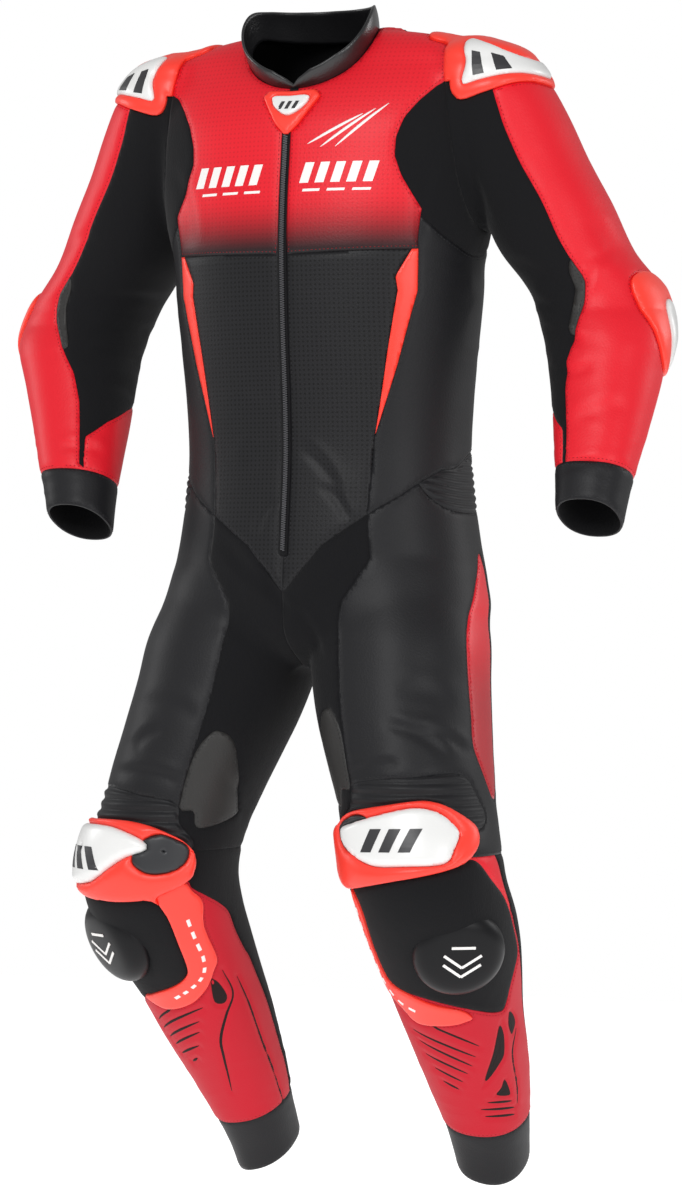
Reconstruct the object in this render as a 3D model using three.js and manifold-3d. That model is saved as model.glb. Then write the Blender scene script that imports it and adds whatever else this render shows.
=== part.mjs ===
// A one-piece motorcycle race suit, worn by nobody, hollow and open at the neck, cuffs and ankles.
// Millimetres, +Z up. The suit faces -Y and the wearer's left side is +X.
// The origin is inside the neck opening, at the height of the collar's front seam.
import * as THREE from 'three';
import Module from 'manifold-3d';
import { mergeVertices } from 'three/addons/utils/BufferGeometryUtils.js';

const wasm = await Module();
wasm.setup();

// Driving sizes
const WALL = 2.2;
const SEAM = 0.3;
const FAR = 500;
const DEEP = 1500;
const SPARE = 2;
const SIDE_Y = -16;
const SQUARENESS = 2.25;
const SIDES = { torso: 30, arm: 18, leg: 20, neck: 32, slider: 24 };

// Sections of the body, from the top down: height, centre, half width along X, half depth along Y
const torso = table('z y a b', [
  [66, -18, 70, 40],
  [58, -16, 128, 50],
  [44, -15, 182, 64],
  [14, -15, 204, 86],
  [-12, -15, 210, 104],
  [-45, -16, 212, 119],
  [-100, -16, 210, 128],
  [-160, -16, 202, 135],
  [-205, -16, 191, 137],
  [-252, -16, 188, 135],
  [-312, -16, 182, 131],
  [-372, -16, 176, 126],
  [-442, -16, 173, 124],
  [-492, -16, 177, 128],
  [-540, -16, 184, 133],
  [-588, -18, 193, 134],
  [-628, -22, 196, 130],
  [-662, -28, 170, 110],
  [-690, -34, 90, 60],
]);

// Sections of one leg, below the hip
const leg = table('z x y a b', [
  [-530, 70, -20, 60, 80],
  [-570, 86, -24, 90, 104],
  [-610, 96, -32, 97, 110],
  [-656, 106, -48, 102, 112],
  [-708, 114, -64, 101, 110],
  [-756, 125, -79, 98, 108],
  [-804, 139, -94, 93, 104],
  [-852, 153, -108, 88, 98],
  [-900, 166, -124, 88, 96],
  [-935, 172, -124, 88, 98],
  [-972, 176, -104, 87, 102],
  [-1010, 175, -76, 83, 102],
  [-1050, 171, -44, 77, 96],
  [-1092, 166, -9, 70, 89],
  [-1140, 163, 28, 64, 81],
  [-1188, 159, 65, 57, 71],
  [-1236, 156, 99, 48, 61],
  [-1284, 151, 130, 42, 54],
  [-1360, 146, 160, 38, 48],
]);

// Sections of one arm, from the shoulder's top
const arm = table('z x y a b', [
  [46, 186, -14, 22, 26],
  [36, 192, -14, 46, 50],
  [14, 198, -12, 66, 68],
  [-12, 204, -9, 75, 76],
  [-48, 218, -4, 79, 78],
  [-96, 240, 2, 78, 78],
  [-144, 266, 8, 77, 78],
  [-204, 296, 15, 77, 78],
  [-252, 334, 25, 77, 80],
  [-300, 350, 18, 74, 78],
  [-348, 346, 10, 65, 69],
  [-396, 340, 2, 57, 60],
  [-444, 335, -7, 49, 51],
  [-492, 330, -14, 41, 44],
  [-580, 322, -24, 34, 36],
]);

// Each forearm comes forward towards one place, so the right one also turns in
const FOREARM_TOP = -276;
const FOREARM_END = -520;
const FOREARM_REACH = { x: 36, y: -82 };

// Seams in the front view: place across and height
const waistFront = table('x z', [
  [0, -604],
  [12, -590],
  [48, -548],
  [100, -512],
  [133, -490],
  [166, -460],
  [260, -430],
]);
const waistBack = table('x z', [
  [0, -402],
  [90, -410],
  [170, -438],
  [260, -430],
]);
const frontEdge = table('x z', [
  [196, 80],
  [190, 1],
  [168, -12],
  [153, -29],
  [139, -50],
  [131, -74],
  [130, -96],
  [138, -119],
  [151, -143],
  [159, -157],
  [154, -192],
  [152, -252],
  [130, -337],
  [104, -422],
  [99, -504],
  [99, -620],
]);
const backEdge = table('x z', [
  [196, 80],
  [176, 0],
  [158, -60],
  [152, -110],
  [160, -160],
  [158, -252],
  [140, -337],
  [124, -460],
]);
const innerEdge = table('x z', [
  [100, -400],
  [100, -564],
  [78, -614],
  [76, -690],
  [94, -770],
  [107, -830],
  [118, -860],
  [124, -990],
]);
const seatEdge = table('x z', [
  [150, -380],
  [150, -560],
  [120, -640],
  [70, -700],
  [0, -712],
]);

// Cutting planes: the armhole, cuffs, knees, ankles and hems
const ARMHOLE = { normal: [-1, 0, -0.13], at: [176, 0, 0] };
const CUFF_SEAM = { normal: [0, 0.35, 1], at: [356, -74, -468] };
const CUFF_END = { normal: [0, 0.69, 1], at: [360, -98, -520] };
const KNEE = { normal: [0, 0, 1], at: [170, -124, -905] };
const ANKLE_SEAM = { normal: [0.2, -0.5, 1], at: [156, 96, -1232] };
const HEM = { normal: [0.3, -0.62, 1], at: [150, 132, -1292] };

// The neck and its collar, which leans forward
const NECK = { x: 73, y: 68, atY: -34, atZ: 22, lean: 0.62 };
const COLLAR = { wall: 3, foot: 70, top: 34, over: 102, notch: 14, notchFoot: -4 };

// The zip and its shield
const ZIP = { half: 5.2, top: -12, foot: -560, proud: 0.8, depth: 1.6 };
const SHIELD = { proud: 5, lift: 1.1 };
const shieldOutline = table('x z', [
  [0, -58],
  [14, -44],
  [26, -26],
  [36, -10],
  [30, -2],
  [0, -5],
]);

// Hard cups, in the front view for the shoulder and knee and the side view for the elbow
const shoulderCup = table('x z', [
  [96, 70],
  [150, 66],
  [300, 40],
  [300, -18],
  [272, -10],
  [228, -22],
  [196, -30],
  [184, -14],
  [190, 10],
  [186, 30],
  [160, 44],
  [128, 50],
]);
const CUP_BACK_Y = 60;
const kneeCup = table('x z', [
  [96, -884],
  [112, -868],
  [146, -856],
  [181, -852],
  [222, -862],
  [246, -884],
  [240, -914],
  [222, -934],
  [168, -946],
  [112, -946],
  [94, -926],
  [90, -900],
]);
const KNEE_CUP_Y = -128;
const elbowCup = table('y z', [
  [-22, -226],
  [18, -214],
  [58, -232],
  [72, -272],
  [66, -324],
  [38, -352],
  [4, -346],
  [-18, -316],
  [-28, -268],
]);
const ELBOW_X = 370;
const CUP = { shoulder: 9, elbow: 9, knee: 12 };
const SLIDER = { radius: 54, face: 42, height: 22, sink: 10, x: 219, y: -143, z: -1016 };
const SLIDER_FACING = [0.5, -0.72, -0.42];

// Colours from the photograph, as plain finishes
const finishes = {
  red: { color: 0xd8202f, roughness: 0.5 },
  black: { color: 0x232326, roughness: 0.6 },
  stretch: { color: 0x141416, roughness: 0.85 },
  fluo: { color: 0xff5a3c, roughness: 0.5 },
  white: { color: 0xe9e6e2, roughness: 0.4 },
  metal: { color: 0x3a3a3d, roughness: 0.4 },
};

function table(columns, rows) {
  const names = columns.split(' ');
  return rows.map((row) => Object.fromEntries(names.map((name, i) => [name, row[i]])));
}

function toSolid(geometry) {
  geometry.deleteAttribute('normal');
  geometry.deleteAttribute('uv');
  const merged = mergeVertices(geometry, 1e-4);
  const mesh = new wasm.Mesh({
    numProp: 3,
    vertProperties: new Float32Array(merged.attributes.position.array),
    triVerts: new Uint32Array(merged.index.array),
  });
  return new wasm.Manifold(mesh);
}

// A closed stack of level rings, one ring for each section
function loft(sections, sides, grow, mirror) {
  const points = [];
  const faces = [];
  const power = 2 / SQUARENESS;
  sections.forEach((s) => {
    for (let i = 0; i < sides; i += 1) {
      const angle = (2 * Math.PI * i) / sides;
      const c = Math.cos(angle);
      const d = Math.sin(angle);
      const x = (s.x ?? 0) * mirror + (s.lean ?? 0);
      points.push(x + (s.a + grow) * Math.sign(c) * Math.abs(c) ** power);
      points.push(s.y + (s.b + grow) * Math.sign(d) * Math.abs(d) ** power);
      points.push(s.z);
    }
  });
  const last = sections.length - 1;
  for (let row = 0; row < last; row += 1) {
    for (let i = 0; i < sides; i += 1) {
      const j = (i + 1) % sides;
      const upper = row * sides;
      const lower = upper + sides;
      faces.push(upper + i, lower + i, lower + j);
      faces.push(upper + i, lower + j, upper + j);
    }
  }
  for (const [row, turned] of [[0, false], [last, true]]) {
    const centre = points.length / 3;
    const s = sections[row];
    points.push((s.x ?? 0) * mirror + (s.lean ?? 0), s.y, s.z);
    for (let i = 0; i < sides; i += 1) {
      const a = row * sides + i;
      const b = row * sides + ((i + 1) % sides);
      faces.push(...(turned ? [centre, b, a] : [centre, a, b]));
    }
  }
  const geometry = new THREE.BufferGeometry();
  geometry.setAttribute('position', new THREE.Float32BufferAttribute(points, 3));
  geometry.setIndex(faces);
  return toSolid(geometry);
}

// The arm's sections with the forearm brought forward
function armSections() {
  return arm.map((s) => {
    const share = Math.max(0, (FOREARM_TOP - s.z) / (FOREARM_TOP - FOREARM_END));
    return { ...s, lean: FOREARM_REACH.x * share, y: s.y + FOREARM_REACH.y * share };
  });
}

// The whole body's outer form, grown by a distance. The ends run past the cuffs and hems.
function body(grow) {
  const raised = torso.map((s, i) => ({ ...s, z: s.z + endShift(i, torso.length, grow) }));
  let whole = loft(raised, SIDES.torso, grow, 1);
  for (const mirror of [1, -1]) {
    const sleeve = armSections().map((s, i) => ({ ...s, z: s.z + (i === 0 ? grow : 0) }));
    whole = whole.add(loft(sleeve, SIDES.arm, grow, mirror));
    whole = whole.add(loft(leg, SIDES.leg, grow, mirror));
  }
  return whole;
}

// The top and bottom rings move up and down with the offset
function endShift(index, count, grow) {
  if (index === 0) return grow;
  return index === count - 1 ? -grow : 0;
}

// A prism through the suit along Y, from an outline in the front view
function prism(outline, fromY, toY) {
  const shape = new THREE.Shape(outline.map((p) => new THREE.Vector2(p.x, p.z)));
  const geometry = new THREE.ExtrudeGeometry(shape, { depth: toY - fromY, bevelEnabled: false });
  geometry.rotateX(Math.PI / 2);
  geometry.translate(0, toY, 0);
  return toSolid(geometry);
}

// A prism along X, from an outline in the side view
function sidePrism(outline, fromX, toX) {
  const shape = new THREE.Shape(outline.map((p) => new THREE.Vector2(p.y, p.z)));
  const geometry = new THREE.ExtrudeGeometry(shape, { depth: toX - fromX, bevelEnabled: false });
  geometry.rotateX(Math.PI / 2);
  geometry.rotateZ(Math.PI / 2);
  geometry.translate(fromX, 0, 0);
  return toSolid(geometry);
}

// An outline's mirror image on the wearer's right, where side is -1
function mirrored(outline, side) {
  return outline.map((p) => ({ ...p, x: p.x * side }));
}

// An outline from the middle out, closed by its mirror image
function both(outline) {
  const onMiddle = (p) => p.x === 0;
  const other = mirrored(outline, -1).filter((p) => !onMiddle(p));
  return [...outline, ...other.reverse()];
}

// Everything between the middle and an edge, on one side or on both
function inside(edge, side, from, shift) {
  const points = edge.map((p) => ({ x: (p.x + shift) * side, z: p.z }));
  const top = edge[0].z;
  const foot = edge[edge.length - 1].z;
  return [{ x: from * side, z: top }, ...points, { x: from * side, z: foot }];
}

// Everything above or below a seam that crosses both sides
function acrossSeam(seam, end, shift) {
  const right = seam.slice(1).reverse().map((p) => ({ x: -p.x, z: p.z + shift }));
  const left = seam.map((p) => ({ x: p.x, z: p.z + shift }));
  const reach = seam[seam.length - 1].x;
  return [{ x: -reach, z: end }, ...right, ...left, { x: reach, z: end }];
}

function waistZone(end, shift) {
  const front = prism(acrossSeam(waistFront, end, shift), -FAR, SIDE_Y);
  const back = prism(acrossSeam(waistBack, end, shift), SIDE_Y, FAR);
  return front.add(back);
}

// What is left of a solid on one side of a cutting plane, given for the wearer's left
function trim(solid, plane, side, shift = 0) {
  const normal = new THREE.Vector3(...plane.normal).normalize();
  const at = new THREE.Vector3(...plane.at);
  const offset = normal.dot(at) + shift;
  return solid.trimByPlane([normal.x * side, normal.y, normal.z], offset);
}

function trimAway(solid, plane, side, shift = 0) {
  const flipped = { normal: plane.normal.map((n) => -n), at: plane.at };
  return trim(solid, flipped, side, shift);
}

// One side of the body, cut a little off the middle
function half(solid, side) {
  return trim(solid, { normal: [1, 0, 0], at: [SEAM / 2, 0, 0] }, side);
}

// A leaning tube round the neck, given by its half sizes
function neckTube(halfX, halfY, foot, top) {
  const geometry = new THREE.CylinderGeometry(1, 1, top + foot, SIDES.neck);
  geometry.translate(0, (top - foot) / 2, 0);
  geometry.rotateX(Math.PI / 2);
  geometry.scale(halfX, halfY, 1);
  geometry.rotateX(NECK.lean);
  geometry.translate(0, NECK.atY, NECK.atZ);
  return toSolid(geometry);
}

function collar(skin) {
  const { wall, foot, top, notch, notchFoot } = COLLAR;
  const outer = neckTube(NECK.x + wall - SEAM, NECK.y + wall - SEAM, foot, top);
  const inner = neckTube(NECK.x - SEAM, NECK.y - SEAM, foot + SPARE, top + SPARE);
  const notchOutline = [
    { x: 0, z: notchFoot },
    { x: notch, z: FAR },
    { x: -notch, z: FAR },
  ];
  const band = outer.subtract(inner).subtract(prism(notchOutline, -FAR, NECK.atY));
  return band.subtract(skin);
}

// The biggest separate body of a solid
function largest(solid) {
  const bodies = solid.decompose();
  return bodies.sort((a, b) => b.volume() - a.volume())[0];
}

function zipBand(skin, lining, grow) {
  const across = ZIP.half + grow;
  const outline = [
    { x: -across, z: ZIP.foot - grow },
    { x: across, z: ZIP.foot - grow },
    { x: across, z: ZIP.top + grow },
    { x: -across, z: ZIP.top + grow },
  ];
  return skin.subtract(lining).intersect(prism(outline, -FAR, SIDE_Y));
}

function slider(side) {
  const { radius, face, height, sink } = SLIDER;
  const profile = table('across along', [
    [0, -sink],
    [radius * 0.93, -sink],
    [radius, 0],
    [radius * 0.95, height * 0.5],
    [face, height * 0.86],
    [face * 0.5, height * 0.98],
    [0, height],
  ]);
  const points = profile.map((p) => new THREE.Vector2(p.across, p.along));
  const geometry = new THREE.LatheGeometry(points, SIDES.slider);
  const facing = new THREE.Vector3(...SLIDER_FACING).normalize();
  const turn = new THREE.Quaternion().setFromUnitVectors(new THREE.Vector3(0, 1, 0), facing);
  geometry.applyQuaternion(turn);
  geometry.translate(SLIDER.x, SLIDER.y, SLIDER.z);
  const solid = toSolid(geometry);
  return side === 1 ? solid : solid.mirror([1, 0, 0]);
}

// Building the pieces
const skin = body(0);
const seated = body(SEAM);
const neckHole = neckTube(NECK.x, NECK.y, COLLAR.foot, COLLAR.over);
const shell = skin.subtract(body(-WALL)).subtract(neckHole);
const zipGap = zipBand(body(ZIP.proud + SPARE), body(-WALL - SPARE), SEAM);
const upper = shell.intersect(waistZone(FAR, SEAM / 2));
const lower = shell.intersect(waistZone(-DEEP, -SEAM / 2));
const seatZone = (shift) => prism(both(seatEdge), SIDE_Y + shift, FAR);
const pieces = [];

function add(name, solid, finish) {
  pieces.push({ name, solid, finish });
}

add('collar', collar(seated), 'black');
add('zip', zipBand(body(ZIP.proud), body(-ZIP.depth), 0), 'metal');
const shieldPrism = prism(both(shieldOutline), -FAR, SIDE_Y);
add('zip_shield', body(SHIELD.proud).subtract(body(SHIELD.lift)).intersect(shieldPrism), 'red');
const trunk = trimBoth(upper);
add('back', trunk.intersect(prism(both(backEdge), SIDE_Y + SEAM / 2, FAR)), 'black');
add('seat', lower.intersect(seatZone(SEAM)), 'black');

for (const side of [1, -1]) {
  const name = (stem) => `${stem}_${side === 1 ? 'left' : 'right'}`;
  const frontZone = (shift) => prism(inside(frontEdge, side, SEAM / 2, shift), -FAR, SIDE_Y - SEAM / 2);
  const backZone = prism(inside(backEdge, side, 0, SEAM), SIDE_Y - SEAM / 2, FAR);
  const innerZone = (shift) => prism(inside(innerEdge, side, 0, shift), -FAR, FAR);
  add(name('front'), trunk.intersect(frontZone(0)).subtract(zipGap), 'red');
  add(name('side'), half(trunk, side).subtract(frontZone(SEAM)).subtract(backZone), 'stretch');
  const sleeve = trimAway(shell, ARMHOLE, side, SEAM / 2);
  add(name('sleeve'), trim(sleeve, CUFF_SEAM, side, SEAM / 2), 'red');
  const hand = trimAway(sleeve, CUFF_SEAM, side, SEAM / 2);
  add(name('cuff'), trim(hand, CUFF_END, side), 'black');
  const limb = half(trim(lower, ARMHOLE, side), side);
  const above = trim(limb, KNEE, side, SEAM / 2).subtract(seatZone(0));
  add(name('inner'), above.intersect(innerZone(0)), 'stretch');
  add(name('thigh'), above.subtract(innerZone(SEAM)), 'black');
  const calf = trimAway(limb, KNEE, side, SEAM / 2);
  add(name('shin'), trim(calf, ANKLE_SEAM, side, SEAM / 2), 'red');
  add(name('ankle'), trim(trimAway(calf, ANKLE_SEAM, side, SEAM / 2), HEM, side), 'black');
  const shoulderPrism = prism(mirrored(shoulderCup, side), -FAR, CUP_BACK_Y);
  add(name('shoulder_cup'), body(CUP.shoulder).subtract(seated).intersect(shoulderPrism), 'fluo');
  const elbowPrism = sidePrism(elbowCup, side === 1 ? ELBOW_X : -FAR, side === 1 ? FAR : -ELBOW_X);
  add(name('elbow_cup'), body(CUP.elbow).subtract(seated).intersect(elbowPrism), 'fluo');
  const kneePrism = prism(mirrored(kneeCup, side), -FAR, KNEE_CUP_Y);
  add(name('knee_cup'), body(CUP.knee).subtract(seated).intersect(kneePrism), 'white');
  add(name('knee_slider'), slider(side).subtract(seated), 'black');
}

// The torso's part of a wall, between both armholes
function trimBoth(solid) {
  const left = trim(solid, ARMHOLE, 1, SEAM / 2);
  return trim(left, ARMHOLE, -1, SEAM / 2);
}

// Each piece keeps its largest body, without the crumbs that its cuts leave
const group = new THREE.Group();
for (const { name, solid, finish } of pieces) {
  const { vertProperties, triVerts } = largest(solid).getMesh();
  const geometry = new THREE.BufferGeometry();
  geometry.setAttribute('position', new THREE.BufferAttribute(new Float32Array(vertProperties), 3));
  geometry.setIndex(new THREE.BufferAttribute(new Uint32Array(triVerts), 1));
  geometry.computeVertexNormals();
  const material = new THREE.MeshStandardMaterial({ metalness: 0, ...finishes[finish] });
  const mesh = new THREE.Mesh(geometry, material);
  mesh.name = name;
  group.add(mesh);
}

export default group;
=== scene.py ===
import math

import bmesh
import bpy
import numpy as np
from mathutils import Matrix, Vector, bvhtree, kdtree


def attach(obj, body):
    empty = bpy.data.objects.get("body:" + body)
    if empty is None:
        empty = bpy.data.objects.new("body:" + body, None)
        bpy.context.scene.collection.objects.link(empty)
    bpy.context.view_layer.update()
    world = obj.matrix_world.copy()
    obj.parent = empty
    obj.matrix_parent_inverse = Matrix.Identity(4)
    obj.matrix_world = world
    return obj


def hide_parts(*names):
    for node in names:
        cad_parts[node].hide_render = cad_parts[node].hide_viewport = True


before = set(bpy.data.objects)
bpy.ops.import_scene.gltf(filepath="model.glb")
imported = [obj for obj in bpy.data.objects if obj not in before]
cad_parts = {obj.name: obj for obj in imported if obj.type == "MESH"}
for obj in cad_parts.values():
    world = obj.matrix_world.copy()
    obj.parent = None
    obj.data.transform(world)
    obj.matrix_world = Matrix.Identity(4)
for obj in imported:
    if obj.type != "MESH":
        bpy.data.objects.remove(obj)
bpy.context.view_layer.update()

# Sizes are in millimetres until a mesh is made. The suit faces -Y, and +X is the wearer's left.
MM = 0.001
CELL = 5.0
WALL = 2.2
BLEND = 14.0
POWER = 2.25
SIDE_Y = -16.0

TORSO = np.array([
    # z, centre y, half width, half depth
    [66, -18, 70, 40],
    [58, -16, 128, 50],
    [44, -15, 182, 64],
    [14, -15, 204, 86],
    [-12, -15, 210, 104],
    [-45, -16, 212, 119],
    [-100, -16, 210, 128],
    [-160, -16, 202, 135],
    [-205, -16, 191, 137],
    [-252, -16, 188, 135],
    [-312, -16, 182, 131],
    [-372, -16, 176, 126],
    [-442, -16, 173, 124],
    [-492, -16, 177, 128],
    [-540, -16, 184, 133],
    [-588, -18, 193, 134],
    [-628, -22, 196, 130],
    [-662, -28, 170, 110],
    [-690, -34, 90, 60],
], float)

LEG = np.array([
    # z, centre x, centre y, half width, half depth
    [-530, 70, -20, 60, 80],
    [-570, 86, -24, 90, 104],
    [-610, 96, -32, 97, 110],
    [-656, 106, -48, 102, 112],
    [-708, 114, -64, 101, 110],
    [-756, 125, -79, 98, 108],
    [-804, 139, -94, 93, 104],
    [-852, 153, -108, 88, 98],
    [-900, 166, -124, 88, 96],
    [-935, 172, -124, 88, 98],
    [-972, 176, -104, 87, 102],
    [-1010, 175, -76, 83, 102],
    [-1050, 171, -44, 77, 96],
    [-1092, 166, -9, 70, 89],
    [-1140, 163, 28, 64, 81],
    [-1188, 159, 65, 57, 71],
    [-1236, 156, 99, 48, 61],
    [-1284, 151, 130, 42, 54],
    [-1360, 146, 160, 38, 48],
], float)

ARM = np.array([
    # z, centre x, centre y, half width, half depth
    [46, 186, -14, 22, 26],
    [36, 192, -14, 46, 50],
    [14, 198, -12, 66, 68],
    [-12, 204, -9, 75, 76],
    [-48, 218, -4, 79, 78],
    [-96, 240, 2, 78, 78],
    [-144, 266, 8, 77, 78],
    [-204, 296, 15, 77, 78],
    [-252, 334, 25, 77, 80],
    [-300, 350, 18, 74, 78],
    [-348, 346, 10, 65, 69],
    [-396, 340, 2, 57, 60],
    [-444, 335, -7, 49, 51],
    [-492, 330, -14, 41, 44],
    [-580, 322, -24, 34, 36],
], float)
FOREARM_TOP = -276.0
FOREARM_END = -520.0
FOREARM_REACH = (36.0, -82.0)
ELBOW_Z = -285.0
ELBOW_REACH = 80.0
ELBOW_INSET = {1: 9.0, -1: 0.0}

# Seams in the front view: half width against height, or height against half width
WAIST_FRONT = np.array([
    [0, -604], [12, -590], [48, -548], [100, -512], [133, -490], [166, -460], [260, -430],
], float)
WAIST_BACK = np.array([[0, -402], [90, -410], [170, -438], [260, -430]], float)
FRONT_EDGE = np.array([
    [196, 80], [190, 1], [168, -12], [153, -29], [139, -50], [131, -74], [130, -96], [138, -119],
    [151, -143], [159, -157], [154, -192], [152, -252], [130, -337], [104, -422], [99, -504],
    [99, -620],
], float)
BACK_EDGE = np.array([
    [196, 80], [176, 0], [158, -60], [152, -110], [160, -160], [158, -252], [140, -337],
    [124, -460],
], float)
SEAT_EDGE = np.array([[150, -380], [150, -560], [120, -640], [70, -700], [0, -712]], float)


def hermite(table, z):
    """The section at each height, on smooth curves through the table's rows."""
    rows = table[::-1]
    keys = rows[:, 0]
    values = rows[:, 1:]
    slope = np.gradient(values, keys, axis=0)
    z = np.clip(z, keys[0], keys[-1])
    i = np.clip(np.searchsorted(keys, z, side="right") - 1, 0, len(keys) - 2)
    step = (keys[i + 1] - keys[i])[..., None]
    t = ((z - keys[i])[..., None]) / step
    start = (2 * t**3 - 3 * t**2 + 1) * values[i] + (t**3 - 2 * t**2 + t) * step * slope[i]
    end = (3 * t**2 - 2 * t**3) * values[i + 1] + (t**3 - t**2) * step * slope[i + 1]
    return start + end


def section(kind, side, z):
    """Centre x and y, half width and half depth of one tube at each height."""
    if kind == "torso":
        y, a, b = np.moveaxis(hermite(TORSO, z), -1, 0)
        return np.zeros_like(y), y, a, b
    x, y, a, b = np.moveaxis(hermite(LEG if kind == "leg" else ARM, z), -1, 0)
    if kind == "leg":
        return x * side, y, a, b
    share = np.maximum(0, (FOREARM_TOP - z) / (FOREARM_TOP - FOREARM_END))
    inset = ELBOW_INSET[side] * np.exp(-((z - ELBOW_Z) / ELBOW_REACH) ** 2)
    return (x - inset) * side + FOREARM_REACH[0] * share, y + FOREARM_REACH[1] * share, a, b


TUBES = [("torso", 1, -690, 66), ("arm", 1, -580, 46), ("arm", -1, -580, 46)]
TUBES += [("leg", 1, -1360, -530), ("leg", -1, -1360, -530)]


def tube_distance(tube, x, y, z):
    """How far outside one tube each point is."""
    kind, side, foot, top = tube
    cx, cy, a, b = section(kind, side, z)
    dx = np.abs(x - cx)
    dy = np.abs(y - cy)
    share = ((dx / a) ** POWER + (dy / b) ** POWER) ** (1 / POWER)
    reach = np.sqrt(dx * dx + dy * dy) + 1e-6
    around = (share - 1) * reach / np.maximum(share, 1e-4)
    around = np.where(share < 0.2, -np.minimum(a, b) * 0.8, around)
    return np.maximum(around, np.maximum(z - top, foot - z))


def soft_least(a, b, size):
    """The smaller of two distances, with a soft join of the size given."""
    h = np.maximum(size - np.abs(a - b), 0) / size
    return np.minimum(a, b) - h * h * size * 0.25


def distance(x, y, z):
    """How far outside the body each point is, with softly blended joins."""
    total = tube_distance(TUBES[0], x, y, z)
    for tube in TUBES[1:]:
        total = soft_least(total, tube_distance(tube, x, y, z), BLEND)
    return total


def grid_distance(xs, ys, zs):
    """The body's distance on a grid, worked out near each tube alone."""
    total = np.full((len(xs), len(ys), len(zs)), 60.0)
    for tube in TUBES:
        kind, side, foot, top = tube
        keep = np.flatnonzero((zs > foot - 20) & (zs < top + 20))
        z = zs[keep]
        cx, _, a, _ = section(kind, side, z)
        far = np.flatnonzero((xs > (cx - a).min() - 25) & (xs < (cx + a).max() + 25))
        part = tube_distance(tube, xs[far][:, None, None], ys[None, :, None], z[None, None, :])
        block = np.ix_(far, np.arange(len(ys)), keep)
        total[block] = soft_least(total[block], part, BLEND)
    return total


def surface_net(xs, ys, zs, values):
    """A quad mesh on the surface where the values change sign: one point in each crossed cell."""
    inside = values < 0
    corners = [(i, j, k) for i in (0, 1) for j in (0, 1) for k in (0, 1)]
    size = [n - 1 for n in values.shape]
    count = np.zeros(size, np.int8)
    for i, j, k in corners:
        count += inside[i:i + size[0], j:j + size[1], k:k + size[2]]
    cells = np.argwhere((count > 0) & (count < 8))
    number = np.full(size, -1)
    number[tuple(cells.T)] = np.arange(len(cells))
    corner_values = np.array([values[tuple((cells + c).T)] for c in corners])
    total = np.zeros((len(cells), 3))
    hits = np.zeros(len(cells))
    for m, first in enumerate(corners):
        for n, second in enumerate(corners):
            if n <= m or sum(abs(p - q) for p, q in zip(first, second)) != 1:
                continue
            va, vb = corner_values[m], corner_values[n]
            cross = (va < 0) != (vb < 0)
            t = np.where(cross, va / np.where(cross, va - vb, 1), 0)[:, None]
            place = np.array(first) * (1 - t) + np.array(second) * t
            total += place * cross[:, None]
            hits += cross
    local = cells + total / hits[:, None]
    origin = np.array([xs[0], ys[0], zs[0]])
    points = origin + local * np.array([xs[1] - xs[0], ys[1] - ys[0], zs[1] - zs[0]])
    quads = []
    for axis in range(3):
        u, v = (axis + 1) % 3, (axis + 2) % 3
        low = np.moveaxis(inside, axis, 0)[:-1]
        high = np.moveaxis(inside, axis, 0)[1:]
        for direction in (1, -1):
            change = (low & ~high) if direction == 1 else (~low & high)
            edges = np.argwhere(np.moveaxis(change, 0, axis))
            edges = edges[(edges[:, u] > 0) & (edges[:, v] > 0)]
            around = []
            for du, dv in ((1, 1), (0, 1), (0, 0), (1, 0))[::direction]:
                cell = edges.copy()
                cell[:, u] -= du
                cell[:, v] -= dv
                around.append(number[tuple(cell.T)])
            quads.append(np.stack(around, 1))
    return points, np.concatenate(quads)


def gradient(p):
    """The direction in which the distance grows at each point."""
    step = 0.5
    parts = []
    for axis in range(3):
        shift = np.zeros(3)
        shift[axis] = step
        parts.append(distance(*(p + shift).T) - distance(*(p - shift).T))
    return np.stack(parts, 1) / (2 * step)


def settle(points):
    """Moves points onto the surface."""
    for _ in range(3):
        g = gradient(points)
        size = np.maximum((g * g).sum(1), 0.05)
        points = points - g * (distance(*points.T) / size)[:, None]
    return points


def relax(points, quads, rounds):
    """Moves each point toward the middle of its neighbours."""
    edges = np.concatenate([quads[:, [i, (i + 1) % 4]] for i in range(4)])
    for _ in range(rounds):
        total = np.zeros_like(points)
        count = np.zeros(len(points))
        for a, b in ((0, 1), (1, 0)):
            np.add.at(total, edges[:, a], points[edges[:, b]])
            np.add.at(count, edges[:, a], 1)
        points = points + 0.6 * (total / np.maximum(count, 1)[:, None] - points)
    return points


def body_mesh():
    """The body's surface as points and quads."""
    xs = np.arange(-460, 460 + CELL, CELL)
    ys = np.arange(-250, 250 + CELL, CELL)
    zs = np.arange(-1375, 80 + CELL, CELL)
    points, quads = surface_net(xs, ys, zs, grid_distance(xs, ys, zs))
    points = relax(points, quads, 2)
    return settle(points), quads


def make_mesh(name, points, faces, materials):
    """An object from points in millimetres, with its materials."""
    mesh = bpy.data.meshes.new(name)
    mesh.from_pydata([tuple(p) for p in np.asarray(points) * MM], [], [tuple(f) for f in faces])
    mesh.validate()
    mesh.update()
    for m in materials:
        mesh.materials.append(m)
    obj = bpy.data.objects.new(name, mesh)
    bpy.context.scene.collection.objects.link(obj)
    return obj


# The cut of the body's mesh into panels

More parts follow.
